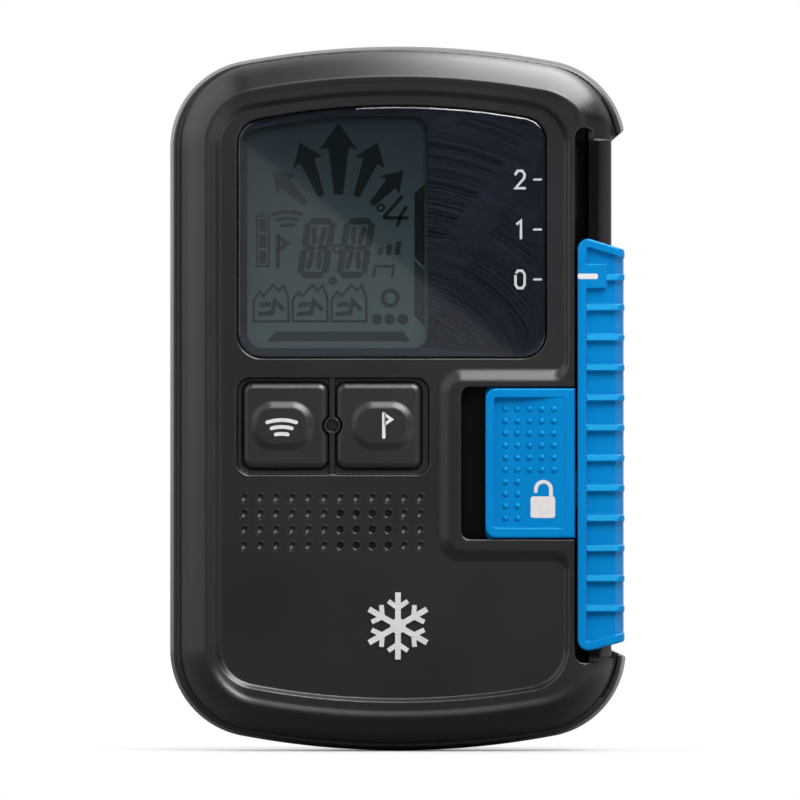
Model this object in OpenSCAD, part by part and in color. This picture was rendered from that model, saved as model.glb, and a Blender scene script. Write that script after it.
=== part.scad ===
// Avalanche transceiver: a hand-sized beacon with a display, two keys, a sliding mode switch with its lock,
// three ferrite antennas and a battery compartment for three AAA cells.
// Frame: +X to the right, +Y from the front towards the back, +Z up. The origin is the middle of the whole unit.

/* [Body] */
// Width across the casing
body_w = 76.4; // [76:0.1:77]
// Height from end to end
body_h = 118; // [117.5:0.1:118.5]
// Thickness, slider included
body_d = 29; // [29:0.1:29.4]
// Radius of the casing's four corners
corner_r = 14.7; // [14:0.1:15.4]
// Radius of the bowed top and bottom edges
end_r = 140; // [135:1:150]
// Wall thickness of the rear shell
wall = 2.0; // [1.9:0.05:2.1]

/* [Mode slider] */
// Travel from one mode to the next
mode_step = 8.4; // [8:0.1:8.4]
// Height of the slider
slider_h = 68.8; // [67:0.1:68.8]
// Distance between the slider's grip ribs
rib_pitch = 5.03; // [4.8:0.01:5.1]

/* [Lock and keys] */
// Travel of the lock button
lock_travel = 3.5; // [3:0.1:3.6]
// Width of a key
key_w = 14.2; // [13.9:0.1:14.2]
// Height of a key
key_h = 14.35; // [14:0.05:14.4]
// Distance between the speaker grille's holes
grille_pitch = 2.67; // [2.5:0.01:2.7]

/* [Battery door] */
// Radius of the door's hinge barrel
barrel_r = 0.95; // [0.9:0.01:1]
// Radius of the hinge pin
hinge_pin_r = 0.5; // [0.45:0.01:0.52]
// Radius of the strap bar
strap_bar_r = 1.1; // [1:0.05:1.2]

/* [Hidden] */
$fn = 48;
slip = 0.2;

// Levels through the thickness, from the front (negative) to the back
front_y = -body_d / 2;
back_y = body_d / 2;
crest_y = front_y + 0.9;
floor_y = crest_y + 1.2;
inner_y = floor_y + 2.0;
parting_y = -7.5;
board_front_y = -4.0;
board_back_y = board_front_y + 1.6;
tub_floor_y = 1.7;
back_inner_y = back_y - 1.9;

// The bezel band between the parting line and the crest
band_inset = [1.0, 5.9];
band_bulge = 0.5;

// Right-hand track that the mode slider runs in
rail_x = 35.7;
rail_front_y = -12.0;
track_left_x = 29.6;
track_low_z = -44.2;
track_high_z = 45.2;
slot_x = [29.7, 31.5];
slot_y = -9.2;
rear_groove_x = 33.4;
rear_groove_y = [4.1, 6.4];
block_x = 27.6;
cavity_right_x = 31.8;

// Slider
slider_x = [30.0, body_w / 2 - 0.1];
slider_low_z = -42.1;
slider_high_z = slider_low_z + slider_h;
slider_relief = 0.9;
slider_inner_x = 36.0;
slider_inner_y = [-12.3, 4.4];
slider_rear_y = 6.1;
slider_rear_x = 33.8;
detent_z = -15;
ball_r = 0.55;
magnet_t = 0.7;
lock_tongue_x = 33;
lock_tongue_z = [-18, -12];

// Recessed face and the surround of the lock pocket
face_x = [-30.0, 28.3];
face_z = [-50.0, 51.2];
face_r = 7;
notch_x = 8.7;
notch_z = [-25.1, 3.3];
pocket_x = 10.6;
pocket_z = [-23.5, 1.9];
pocket_floor_y = -9.9;
pocket_undercut = 0.7;
lock_x = [14.6, 29.6];
lock_z = [-23.3, 1.7];

// Window and display
window_x = [-26.7, 24.7];
window_z = [6.9, 48.8];
window_end_r = 122;
window_corner_r = 4;
window_back_y = -11.3;
ledge_y = -11.0;
lcd_x = [-26.1, 6.1];
lcd_z = [7.2, 47.3];
lcd_view_x = [-25.2, 5.0];
lcd_view_z = [8.4, 47.3];

// Keys
key_mid_x = [-18.78, -3.22];
key_mid_z = -4.55;
key_top_y = -12.7;
key_travel = 0.6;
led_x = -11.0;
led_pipe_r = 0.8;

// Speaker grille: 12 by 4 dimples, 4 by 3 of them drilled through
grille_x0 = -25.66;
grille_z0 = -16.55;
speaker_x = grille_x0 + 7.5 * grille_pitch;
speaker_z = grille_z0 - 2 * grille_pitch;
speaker_r = 7.6;

// Fasteners, as [x, z]
housing_bosses = [[-30.2, 42], [25.2, 47], [-21, -48.9], [21, -48.9]];
board_posts = [[-22, 38], [27.5, 36], [-23, -1], [26.2, 2]];

// Battery compartment and door
tub_x = 24.4;
tub_z = [-41.3, -7.1];
tub_wall = 2.2;
cell_r = 5.25;
cell_pitch = 11;
cell_y = tub_floor_y + 0.2 + cell_r;
cell_z = [for (i = [0:2]) (tub_z[0] + tub_z[1]) / 2 + (i - 1) * cell_pitch];
door_x = 26.3;
door_top_z = -4.9;
door_y = 12.75;
door_back_y = back_y - 0.1;
hinge_y = door_back_y - barrel_r;
hinge_z = -44.3;
door_screw_z = -0.4;
door_tab_r = 6.2;

// Strap recess
strap_z = -51.8;
strap_recess = [11, 5.2, 5];

// Antennas
antenna_x_at = [-31.2, 3.0];
antenna_x_r = 3.4;
antenna_x_len = 72;
antenna_y_at = [4.5, 49.6];
antenna_y_r = 3.8;
antenna_y_x = [-24, 20];
antenna_z_at = [20, 24];
antenna_z_r = 6.5;
antenna_z_y = [-1.9, 10.5];

// ---------- outlines, drawn in X and Z ----------

function arc(cx, cz, r, from, to, steps) =
    [for (i = [0:steps]) let (a = from + (to - from) * i / steps) [cx + r * cos(a), cz + r * sin(a)]];

// A rounded oblong whose ends bow out with radius ends, from x[0] to x[1], and from z[0] to z[1] on the middle
// line. Its corners have radius r, and the whole line is moved in by inset.
function bowed(x, z, ends, r, inset = 0, flat_bottom = false) = let (
    right = x[1] - r, left = x[0] + r,
    top_c = z[1] - ends, low_c = z[0] + ends,
    tr = top_c + sqrt(pow(ends - r, 2) - right * right), tl = top_c + sqrt(pow(ends - r, 2) - left * left),
    br = flat_bottom ? z[0] + r : low_c - sqrt(pow(ends - r, 2) - right * right),
    bl = flat_bottom ? z[0] + r : low_c - sqrt(pow(ends - r, 2) - left * left),
    a_tr = atan2(tr - top_c, right), a_tl = atan2(tl - top_c, left),
    a_bl = flat_bottom ? 270 : 360 + atan2(bl - low_c, left),
    a_br = flat_bottom ? 270 : 360 + atan2(br - low_c, right)
) concat(
    arc(right, tr, r - inset, 0, a_tr, 8),
    arc(0, top_c, ends - inset, a_tr, a_tl, 14),
    arc(left, tl, r - inset, a_tl, 180, 8),
    arc(left, bl, r - inset, 180, a_bl, 8),
    flat_bottom ? [] : arc(0, low_c, ends - inset, a_bl, a_br, 14),
    arc(right, br, r - inset, a_br, 360, 8));

function casing(inset) =
    bowed([-body_w / 2, body_w / 2], [-body_h / 2, body_h / 2], end_r, corner_r, inset);
function window(inset) = bowed(window_x, window_z, window_end_r, window_corner_r, inset, true);

// The part of the window that the display shows through
module lcd_view_2d(grow = 0) {
    intersection() {
        block_2d([lcd_view_x[0] - grow, lcd_view_x[1] + grow], [lcd_view_z[0] - grow, lcd_view_z[1] + grow], 2.6);
        polygon(window(1.3 - grow));
    }
}

// Cuts a plane shape to the part left of x = limit
module left_of(limit) {
    intersection() {
        children();
        translate([-body_w, -body_h]) square([body_w + limit, 2 * body_h]);
    }
}

module block_2d(x, z, r = 0) {
    if (r == 0) translate([x[0], z[0]]) square([x[1] - x[0], z[1] - z[0]]);
    else union() {
        translate([x[0] + r, z[0]]) square([x[1] - x[0] - 2 * r, z[1] - z[0]]);
        translate([x[0], z[0] + r]) square([x[1] - x[0], z[1] - z[0] - 2 * r]);
        for (cx = [x[0] + r, x[1] - r], cz = [z[0] + r, z[1] - r]) translate([cx, cz]) circle(r);
    }
}

// ---------- solids along the axes ----------

// Raises a shape drawn in X and Z from depth y[0] to depth y[1]
module slab(y) {
    translate([0, y[1], 0]) rotate([90, 0, 0]) linear_extrude(y[1] - y[0]) children();
}

module block(x, y, z) {
    translate([x[0], y[0], z[0]]) cube([x[1] - x[0], y[1] - y[0], z[1] - z[0]]);
}

module rod_x(x, y, z, r) {
    translate([x[0], y, z]) rotate([0, 90, 0]) cylinder(h = x[1] - x[0], r = r);
}

module rod_y(x, y, z, r) {
    translate([x, y[1], z]) rotate([90, 0, 0]) cylinder(h = y[1] - y[0], r = r);
}

module rod_z(x, y, z, r) {
    translate([x, y, z[0]]) cylinder(h = z[1] - z[0], r = r);
}

// A solid through thin plates, each [depth, inset] of the casing outline
module lofted_casing(plates) {
    hull() for (p = plates) slab([p[0], p[0] + 0.01]) polygon(casing(p[1]));
}

// A round wire wound from radius r[0] at z = 0 to radius r[1] at z = height
module coil(r, wire_r, height, turns) {
    sides = 6;
    steps = turns * 14;
    rings = [for (i = [0:steps]) let (t = i / steps, a = 360 * turns * t, rr = r[0] + (r[1] - r[0]) * t,
                  rise = wire_r + (height - 2 * wire_r) * t)
        [for (k = [0:sides - 1]) let (b = 360 * k / sides, q = rr + wire_r * cos(b))
            [q * cos(a), q * sin(a), rise + wire_r * sin(b)]]];
    points = [for (ring = rings) each ring];
    sides_faces = [for (i = [0:steps - 1], k = [0:sides - 1]) let (n = (k + 1) % sides, a = i * sides, b = a + sides)
        [a + k, b + k, b + n, a + n]];
    caps = [[for (k = [0:sides - 1]) k], [for (k = [0:sides - 1]) (steps + 1) * sides - 1 - k]];
    polyhedron(points, concat(sides_faces, caps));
}

// ---------- shells ----------

function band_plate(t) = [parting_y + t * (crest_y - parting_y) - band_bulge * sin(180 * t),
    band_inset[0] + t * (band_inset[1] - band_inset[0])];

// Everything that the slider and its track take away from the casing
module track_space() {
    outside = body_w / 2 + 1;
    horn = [[track_left_x, track_high_z - 1.4], [track_left_x + 0.3, track_high_z - 0.6],
        [track_left_x + 0.9, track_high_z - 0.1], [track_left_x + 1.7, track_high_z], [33, track_high_z - 0.3],
        [rail_x, track_high_z - 0.9], [rail_x + 0.2, track_high_z - 2.6], [outside, track_high_z + 0.2],
        [outside, track_low_z + 0.5], [rail_x + 0.2, track_low_z + 1.9], [rail_x - 0.1, track_low_z + 0.8],
        [33.5, track_low_z + 0.4], [track_left_x + 1.7, track_low_z], [track_left_x + 0.9, track_low_z + 0.2],
        [track_left_x + 0.3, track_low_z + 0.8], [track_left_x, track_low_z + 1.6]];
    slab([front_y - 1, rail_front_y]) polygon(horn);
    slab([front_y - 1, back_y + 1]) intersection() {
        polygon(horn);
        block_2d([rail_x, outside], [track_low_z, track_high_z]);
    }
    slab([front_y - 1, slot_y]) intersection() {
        polygon(horn);
        block_2d(slot_x, [track_low_z, track_high_z]);
    }
    slab(rear_groove_y) intersection() {
        polygon(horn);
        block_2d([rear_groove_x, outside], [track_low_z, track_high_z]);
    }
}

// Rounds the rail's front outer edge
module rail_rounding() {
    r = 2.2;
    translate([0, 0, track_low_z - 0.1]) linear_extrude(track_high_z - track_low_z + 0.2) difference() {
        translate([rail_x - r, rail_front_y - 0.1]) square([r + 0.1, r + 0.1]);
        translate([rail_x - r, rail_front_y + r]) circle(r);
    }
}

module face_2d() {
    difference() {
        polygon(bowed(face_x, face_z, 130, face_r));
        block_2d([notch_x, 60], notch_z, 3);
    }
}

module key_openings(grow) {
    for (x = key_mid_x)
        block_2d([x - key_w / 2 - grow, x + key_w / 2 + grow],
            [key_mid_z - key_h / 2 - grow, key_mid_z + key_h / 2 + grow], 1.6);
}

module grille() {
    for (i = [0:11], k = [0:3]) {
        open_hole = i >= 6 && i <= 9 && k >= 1;
        rod_y(grille_x0 + i * grille_pitch, [floor_y - 1, open_hole ? inner_y + 1 : floor_y + 0.35],
            grille_z0 - k * grille_pitch, open_hole ? 0.55 : 0.5, $fn = 24);
    }
}

module front_shell() color([0.13, 0.13, 0.14]) {
    post_x = lock_x[0] + 2.4;
    difference() {
        union() {
            difference() {
                lofted_casing([for (i = [0:4]) let (p = band_plate(i / 4)) [p[0] - (i == 0 ? 0.01 : 0), p[1]]]);
                difference() {
                    intersection() {
                        lofted_casing([[parting_y, 2.9], [inner_y + 0.8, 4.6], [inner_y, 6.2]]);
                        slab([front_y, 0]) left_of(block_x) square(2 * body_h, center = true);
                    }
                    block([pocket_x - 2, block_x + 1], [front_y, pocket_floor_y + 1.4],
                        [pocket_z[0] - 2, pocket_z[1] + 2]);
                }
            }
            for (b = housing_bosses) rod_y(b[0], [inner_y - 0.3, parting_y], b[1], 2.8);
        }
        slab([front_y - 1, floor_y]) face_2d();
        track_space();
        rail_rounding();
        // Lock pocket, open towards the track, with an undercut that holds the button's edges
        slab([front_y - 1, pocket_floor_y]) block_2d([pocket_x, slot_x[1]], pocket_z);
        slab([pocket_floor_y - 1.2, pocket_floor_y])
            block_2d([pocket_x, slot_x[1]], [pocket_z[0] - pocket_undercut, pocket_z[1] + pocket_undercut]);
        slab([pocket_floor_y - 1.2, pocket_floor_y])
            block_2d([slot_x[0], lock_tongue_x + 0.2], [lock_tongue_z[0] - 0.2, lock_tongue_z[1] + 0.2]);
        // Window seat and the display opening behind it
        slab([front_y - 1, ledge_y]) polygon(window(-0.08));
        slab([ledge_y - 1, inner_y + 1]) lcd_view_2d();
        // Key field, key openings and light pipe bore
        slab([floor_y - 1, floor_y + 0.7]) difference() {
            block_2d([key_mid_x[0] - key_w / 2 - 1, key_mid_x[1] + key_w / 2 + 1],
                [key_mid_z - key_h / 2 - 0.9, key_mid_z + key_h / 2 + 0.7], 2);
            block_2d([led_x - 0.45, led_x + 0.45], [key_mid_z - 10, key_mid_z + 10]);
            translate([led_x, key_mid_z]) circle(1.4);
        }
        slab([floor_y, inner_y + 1]) difference() {
            key_openings(slip);
            translate([led_x, key_mid_z]) circle(1.4);
        }
        rod_y(led_x, [floor_y - 1, inner_y + 1], key_mid_z, led_pipe_r + 0.05);
        grille();
        for (b = housing_bosses) rod_y(b[0], [parting_y - 2.4, parting_y + 1], b[1], 1.6);
    }
    // Post that the lock spring pushes against
    block([post_x, post_x + 1], [pocket_floor_y - 1.5, pocket_floor_y], [-11.4, -10.2]);
}

module rear_shell() color([0.15, 0.15, 0.16]) {
    door_gap = 0.2;
    difference() {
        union() {
            difference() {
                lofted_casing([[parting_y, 0.35], [parting_y + 0.9, 0], [6, 0.1], [9.5, 0.9], [12, 2.3],
                    [13.6, 4.1], [back_y - 0.01, 6.2]]);
                intersection() {
                    lofted_casing([[parting_y - 0.1, wall + 0.4], [4, wall + 0.4], [9, wall + 1.1], [11.6, 4.6],
                        [back_inner_y - 0.01, 6.6]]);
                    slab([parting_y - 1, back_y]) left_of(cavity_right_x) square(2 * body_h, center = true);
                }
            }
            // Battery tub, hinge bulkhead and door screw pillar
            block([-tub_x - tub_wall, tub_x + tub_wall], [tub_floor_y - 1.4, back_inner_y + 0.1],
                [tub_z[0] - tub_wall, tub_z[1] + tub_wall]);
            block([-door_x - 1.8, door_x + 1.8], [back_inner_y - 1.6, back_inner_y + 0.1], [hinge_z - 2.4, -43]);
            rod_y(0, [tub_floor_y + 2, back_inner_y + 0.1], door_screw_z, 3.9);
            block([-3, 3], [tub_floor_y + 2, back_inner_y - 1.3], [tub_z[1] + tub_wall - 0.5, door_screw_z]);
            block([-strap_recess[0] / 2 - 2, strap_recess[0] / 2 + 2], [back_y - strap_recess[2] - 1.5, back_inner_y],
                [strap_z - 3.4, strap_z + 4.2]);
            for (b = housing_bosses) rod_y(b[0], [parting_y, back_inner_y + 0.1], b[1], 2.8);
            for (p = board_posts) rod_y(p[0], [board_back_y, back_inner_y + 0.1], p[1], 2);
            // Cradles for the antennas
            for (z = [-31, 31])
                block([-35.5, antenna_x_at[0] + 2.6], [antenna_x_at[1], back_inner_y - 2.2], [z - 1, z + 1]);
            for (x = [antenna_y_x[0] + 3, antenna_y_x[1] - 3])
                block([x - 1, x + 1], [antenna_y_at[0], back_inner_y], [antenna_y_at[1] - 3, antenna_y_at[1] + 3]);
            rod_y(antenna_z_at[0], [antenna_z_y[1] - 1.5, back_inner_y + 0.1], antenna_z_at[1], antenna_z_r + 1);
        }
        track_space();
        // Seal groove round the parting face
        slab([parting_y - 1, parting_y + 0.65]) seal_ring_2d(0.02);
        // Tub, door opening and seal groove
        block([-tub_x, tub_x], [tub_floor_y, back_y + 1], tub_z);
        slab([back_inner_y, back_y + 1]) door_2d(door_gap);
        slab([back_inner_y - 0.6, back_y]) door_seal_2d(0.02);
        rod_x([-door_x - door_gap, door_x + door_gap], hinge_y, hinge_z, barrel_r + 0.14);
        block([-door_x - door_gap, door_x + door_gap], [hinge_y, back_y + 1], [hinge_z - barrel_r - 0.25, hinge_z]);
        rod_x([-door_x - 1.6, door_x + 1.6], hinge_y, hinge_z, hinge_pin_r);
        rod_y(0, [back_inner_y - 1.3, back_y], door_screw_z, 4.9);
        rod_y(0, [tub_floor_y + 3, back_y], door_screw_z, 2.1);
        // Housing screws, board screws and strap recess
        for (b = housing_bosses) {
            rod_y(b[0], [parting_y - 1, back_y], b[1], 1.2);
            rod_y(b[0], [back_inner_y + 0.1, back_y + 1], b[1], 2.2);
        }
        for (p = board_posts) rod_y(p[0], [board_back_y - 1, board_back_y + 5], p[1], 0.72);
        block([-strap_recess[0] / 2, strap_recess[0] / 2], [back_y - strap_recess[2], back_y + 1],
            [strap_z - strap_recess[1] / 2, strap_z + strap_recess[1] / 2]);
        rod_x([-strap_recess[0] / 2 - 1, strap_recess[0] / 2 + 1], back_y - 1.9, strap_z, strap_bar_r);
        // Antenna beds, detent pocket and label recess
        rod_z(antenna_x_at[0], antenna_x_at[1], [-40, 40], antenna_x_r + 0.05);
        rod_x([antenna_y_x[0] - 1, antenna_y_x[1] + 1], antenna_y_at[0], antenna_y_at[1], antenna_y_r + 0.05);
        rod_y(antenna_z_at[0], antenna_z_y, antenna_z_at[1], antenna_z_r + 0.05);
        block([rail_x - 1.6, rail_x + 1], [-1.5, 1.5], [detent_z - 9.3, detent_z + 9.3]);
        slab([back_y - 0.2, back_y + 1]) block_2d([-20.2, 20.2], [13.8, 38.2], 2);
    }
}

module seal_ring_2d(grow) {
    difference() {
        left_of(34 + grow) polygon(casing(1.2 - grow));
        left_of(33.3 - grow) polygon(casing(1.9 + grow));
    }
}

module main_seal() color([0.1, 0.1, 0.1]) slab([parting_y, parting_y + 0.65]) seal_ring_2d(0);

// ---------- display ----------

module display_window() color([0.2, 0.24, 0.3, 0.4]) slab([floor_y - 0.2, window_back_y]) polygon(window(0));

module display_mask() color([0.1, 0.12, 0.17]) slab([window_back_y, window_back_y + 0.15]) difference() {
    polygon(window(0.1));
    lcd_view_2d();
}

module window_gasket() color([0.05, 0.05, 0.05]) slab([window_back_y + 0.15, ledge_y]) difference() {
    polygon(window(0.1));
    lcd_view_2d(0.05);
}

module lcd_panel() color([0.34, 0.42, 0.42]) block(lcd_x, [inner_y + 0.2, inner_y + 1.8], lcd_z);

module lcd_backlight() color([0.9, 0.92, 0.9])
    block([lcd_x[0] + 0.1, lcd_x[1] - 0.1], [inner_y + 1.85, inner_y + 4.6], [lcd_z[0] + 2, lcd_z[1]]);

module lcd_frame() color([0.85, 0.85, 0.83]) {
    out = 0.95;
    slab([inner_y + 0.1, board_front_y]) difference() {
        block_2d([lcd_x[0] - out, lcd_x[1] + out], [lcd_z[0] - out, lcd_z[1] + out]);
        block_2d([lcd_x[0] - 0.05, lcd_x[1] + 0.05], [lcd_z[0] - 0.05, lcd_z[1] + 0.05]);
    }
}

module lcd_connector() color([0.75, 0.5, 0.45])
    block([lcd_x[0] + 2, lcd_x[1] - 2], [inner_y + 1.8, board_front_y], [lcd_z[0] + 0.1, lcd_z[0] + 1.8]);

// ---------- keys ----------

module key(mid_x) {
    flange = 0.8;
    pillow = [10.2, 7.4];
    slab([key_top_y, inner_y + 0.1])
        block_2d([mid_x - key_w / 2, mid_x + key_w / 2], [key_mid_z - key_h / 2, key_mid_z + key_h / 2], 1.5);
    slab([inner_y + 0.05, inner_y + 0.75]) difference() {
        block_2d([mid_x - key_w / 2 - 0.6, mid_x + key_w / 2 + 0.6],
            [key_mid_z - key_h / 2 - flange, key_mid_z + key_h / 2 + flange], 1.5);
        translate([led_x, key_mid_z]) circle(1.75);
    }
    slab([key_top_y - 0.5, key_top_y])
        block_2d([mid_x - pillow[0] / 2, mid_x + pillow[0] / 2],
            [key_mid_z - pillow[1] / 2, key_mid_z + pillow[1] / 2], 2.8);
}

module key_relief() slab([front_y, inner_y + 2]) translate([led_x, key_mid_z]) circle(1.65);

module scan_key() color([0.16, 0.16, 0.17]) difference() {
    key(key_mid_x[0]);
    key_relief();
}

module mark_key() color([0.16, 0.16, 0.17]) difference() {
    key(key_mid_x[1]);
    key_relief();
}

module keypad_mat() color([0.3, 0.3, 0.31]) {
    field_x = [-28.8, 7.2];
    field_z = [-14.2, 5.6];
    rim = 1.1;
    sheet = [inner_y + 2.1, inner_y + 2.9];
    difference() {
        slab([inner_y, sheet[1]]) block_2d(field_x, field_z, 2);
        slab([inner_y - 1, sheet[0]])
            block_2d([field_x[0] + rim, field_x[1] - rim], [field_z[0] + rim, field_z[1] - rim], 1);
        rod_y(led_x, [inner_y, sheet[1] + 1], key_mid_z, 1.2);
    }
    for (x = key_mid_x) rod_y(x, [sheet[0] - 0.6, sheet[0] + 0.1], key_mid_z, 4.2);
}

module tact_switches() color([0.75, 0.75, 0.72]) for (x = key_mid_x) {
    block([x - 2.6, x + 2.6], [board_front_y - 2, board_front_y], [key_mid_z - 2.6, key_mid_z + 2.6]);
    rod_y(x, [board_front_y - 3.4, board_front_y - 1.9], key_mid_z, 1.6);
}

module led_lens() color([0.55, 0.6, 0.6]) {
    rod_y(led_x, [floor_y - 0.05, board_front_y - 1.2], key_mid_z, led_pipe_r);
    rod_y(led_x, [inner_y + 0.02, inner_y + 0.9], key_mid_z, led_pipe_r + 0.45);
}

module status_led() color([0.9, 0.95, 0.85])
    block([led_x - 0.8, led_x + 0.8], [board_front_y - 0.8, board_front_y], [key_mid_z - 0.5, key_mid_z + 0.5]);

// ---------- mode slider and lock ----------

// Section of the slider across its travel, standing proud by relief
module slider_section(relief) {
    right = slider_x[1] - slider_relief + relief;
    front = front_y + slider_relief - relief;
    r = 2.6;
    difference() {
        union() {
            translate([slider_x[0], front]) square([right - slider_x[0] - r, r]);
            translate([slider_x[0], front + r]) square([right - slider_x[0], slider_rear_y - front - 2 * r]);
            translate([slider_x[0], slider_rear_y - r]) square([right - slider_x[0] - r, r]);
            translate([right - r, front + r]) circle(r);
            translate([right - r, slider_rear_y - r]) circle(r);
        }
        difference() {
            translate([slider_x[0] - 1, slider_inner_y[0]])
                square([slider_inner_x - slider_x[0] + 1, slider_inner_y[1] - slider_inner_y[0]]);
            difference() {
                translate([slider_inner_x - 1.2, slider_inner_y[0]]) square([1.3, 1.2]);
                translate([slider_inner_x - 1.2, slider_inner_y[0] + 1.2]) circle(1.2);
            }
        }
        translate([slider_x[0] - 1, 0]) square([slider_rear_x - slider_x[0] + 1, slider_rear_y + 1]);
    }
}

module mode_slider() color([0.02, 0.5, 0.85]) {
    rim = 1.6;
    rib = 1.2;
    slant = [[slider_x[0], slider_high_z - 1.8], [slider_x[0] + 0.6, slider_high_z - 0.5],
        [slider_x[0] + 1.8, slider_high_z], [slider_x[1] + 1, slider_high_z - 2.2],
        [slider_x[1] + 1, slider_low_z + 2], [slider_x[0] + 2.2, slider_low_z],
        [slider_x[0] + 0.7, slider_low_z + 0.5], [slider_x[0], slider_low_z + 1.8]];
    lip_gap = [-35.3, -11.5];
    intersection() {
        slab([front_y - 1, slider_rear_y + 1]) polygon(slant);
        difference() {
            union() {
                translate([0, 0, slider_low_z]) linear_extrude(slider_h) slider_section(0);
                // Raised border, pointer block and grip ribs
                translate([0, 0, slider_low_z]) linear_extrude(slider_h) intersection() {
                    slider_section(slider_relief);
                    translate([slider_x[0], front_y - 1]) square([rim, 5]);
                }
                for (z = [slider_low_z, slider_high_z - 2.6])
                    translate([0, 0, z]) linear_extrude(2.6) slider_section(slider_relief);
                for (i = [0:11]) translate([0, 0, slider_low_z + 6.4 + i * rib_pitch])
                    linear_extrude(rib) slider_section(slider_relief);
                block([slider_x[0], slider_x[0] + 4.8], [front_y, front_y + 1], [18.3, 22.5]);
            }
            // Detent notches and magnet pocket
            for (n = [0:2]) rod_y(slider_inner_x, [-2, 2], detent_z - n * mode_step, ball_r + 0.2);
            block([slider_inner_x - 0.1, slider_inner_x + magnet_t], [-6, -2], [-3, 5]);
        }
    }
    // Lip that runs in the front slot, split round the lock tongue's path
    for (z = [[slider_low_z + 2, lip_gap[0]], [lip_gap[1], slider_high_z - 2]])
        block([slider_x[0] + 0.05, slider_x[0] + 1.2], [slider_inner_y[0] - 0.5, slot_y - 0.3], z);
}

module slider_magnet() color([0.7, 0.7, 0.72])
    block([slider_inner_x + 0.03, slider_inner_x + magnet_t], [-6, -2], [-3, 5]);

module detent_spring() color([0.78, 0.78, 0.76]) {
    half = 9.2;
    strip = 0.3;
    seat_x = rail_x - 1.55;
    slab([-1.3, 1.3]) polygon([[seat_x, detent_z - half], [seat_x + strip, detent_z - half],
        [slider_inner_x - 0.35, detent_z - 0.9], [slider_inner_x - 0.35, detent_z + 0.9],
        [seat_x + strip, detent_z + half], [seat_x, detent_z + half],
        [slider_inner_x - 0.65, detent_z + 0.9], [slider_inner_x - 0.65, detent_z - 0.9]]);
    rod_y(slider_inner_x - 0.05, [-1.3, 1.3], detent_z, ball_r);
}

// Depth of the thumb scoop's floor at x, rising to the rim towards the slider
function scoop_y(x) = let (t = min(1, max(0, (x - lock_x[0] - 6) / 6.6))) crest_y + 1.3 * (1 - t);

// Outline of the lock button, round at its left corners, with its upper and lower edges moved out by grow
module lock_2d(grow) {
    z = [lock_z[0] - grow, lock_z[1] + grow];
    block_2d(lock_x, z, 1.7);
    block_2d([lock_x[0] + 2, lock_x[1]], z);
}

module lock_button() color([0.02, 0.5, 0.85]) {
    rim = 1.5;
    foot_y = pocket_floor_y - 0.15;
    channel_z = -10.8;
    post_x = lock_x[0] + 2.4;
    difference() {
        union() {
            slab([crest_y, foot_y]) lock_2d(0);
            slab([foot_y - 0.9, foot_y]) lock_2d(pocket_undercut - 0.1);
        }
        translate([0, 0, lock_z[0] + rim]) linear_extrude(lock_z[1] - lock_z[0] - 2 * rim) polygon([
            [lock_x[0] + rim, crest_y - 0.5], [lock_x[0] + rim, scoop_y(lock_x[0])],
            [lock_x[0] + 6, scoop_y(lock_x[0])], [lock_x[0] + 12.6, crest_y], [lock_x[0] + 12.6, crest_y - 0.5]]);
        block([post_x - 0.2, post_x + 10], [foot_y - 1.6, foot_y + 1], [channel_z - 0.95, channel_z + 0.95]);
    }
    // Grip bumps
    for (i = [0:4], k = [0:9]) if (i < 2 || k < 6) {
        x = lock_x[0] + 3.4 + i * 2.03;
        rod_y(x, [scoop_y(x) - 0.3, scoop_y(x) + 0.3], 0.1 - 1.72 - k * 2.03, 0.42, $fn = 20);
    }
    // Tongue that reaches under the slider's edge
    block([lock_x[1] - 1, lock_tongue_x], [foot_y - 0.9, foot_y], lock_tongue_z);
}

module lock_spring() color([0.8, 0.8, 0.8])
    translate([lock_x[0] + 3.45, pocket_floor_y - 0.95, -10.8]) rotate([0, 90, 0]) coil([0.62, 0.62], 0.14, 8.9, 9);

// ---------- board and electronics ----------

module main_board() color([0.05, 0.3, 0.18]) slab([board_front_y, board_back_y]) difference() {
    left_of(cavity_right_x - 0.4) polygon(casing(4.6));
    for (b = housing_bosses) translate(b) circle(3.2);
    for (p = board_posts) translate(p) circle(0.85);
}

module main_chip() color([0.1, 0.1, 0.1])
    block([-15, -5], [board_back_y, board_back_y + 1.3], [20, 30]);

module radio_shield() color([0.75, 0.75, 0.77])
    block([-16, 4], [board_back_y, board_back_y + 2.2], [3, 16]);

module bluetooth_module() color([0.6, 0.62, 0.6])
    block([10, 22], [board_back_y, board_back_y + 1.8], [33.5, 42.5]);

module hall_sensors() color([0.12, 0.12, 0.12]) for (n = [0:2])
    block([28.6, 31.1], [board_front_y - 1, board_front_y], [n * mode_step - 0.4, n * mode_step + 2.4]);

module board_screws() color([0.7, 0.7, 0.7]) for (p = board_posts) {
    rod_y(p[0], [board_front_y - 1, board_front_y], p[1], 1.4);
    rod_y(p[0], [board_front_y - 0.1, board_back_y + 4.5], p[1], 0.7);
}

module antenna_x_core() color([0.25, 0.24, 0.24]) rod_z(antenna_x_at[0], antenna_x_at[1],
    [-antenna_x_len / 2, antenna_x_len / 2], antenna_x_r - 0.9);

module antenna_x_coil() color([0.72, 0.42, 0.2]) difference() {
    rod_z(antenna_x_at[0], antenna_x_at[1], [-33, 33], antenna_x_r);
    rod_z(antenna_x_at[0], antenna_x_at[1], [-40, 40], antenna_x_r - 0.9);
}

module antenna_y_core() color([0.25, 0.24, 0.24]) rod_x(antenna_y_x, antenna_y_at[0], antenna_y_at[1],
    antenna_y_r - 0.9);

module antenna_y_coil() color([0.72, 0.42, 0.2]) difference() {
    rod_x([antenna_y_x[0] + 1.5, antenna_y_x[1] - 1.5], antenna_y_at[0], antenna_y_at[1], antenna_y_r);
    rod_x([-40, 40], antenna_y_at[0], antenna_y_at[1], antenna_y_r - 0.9);
}

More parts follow.
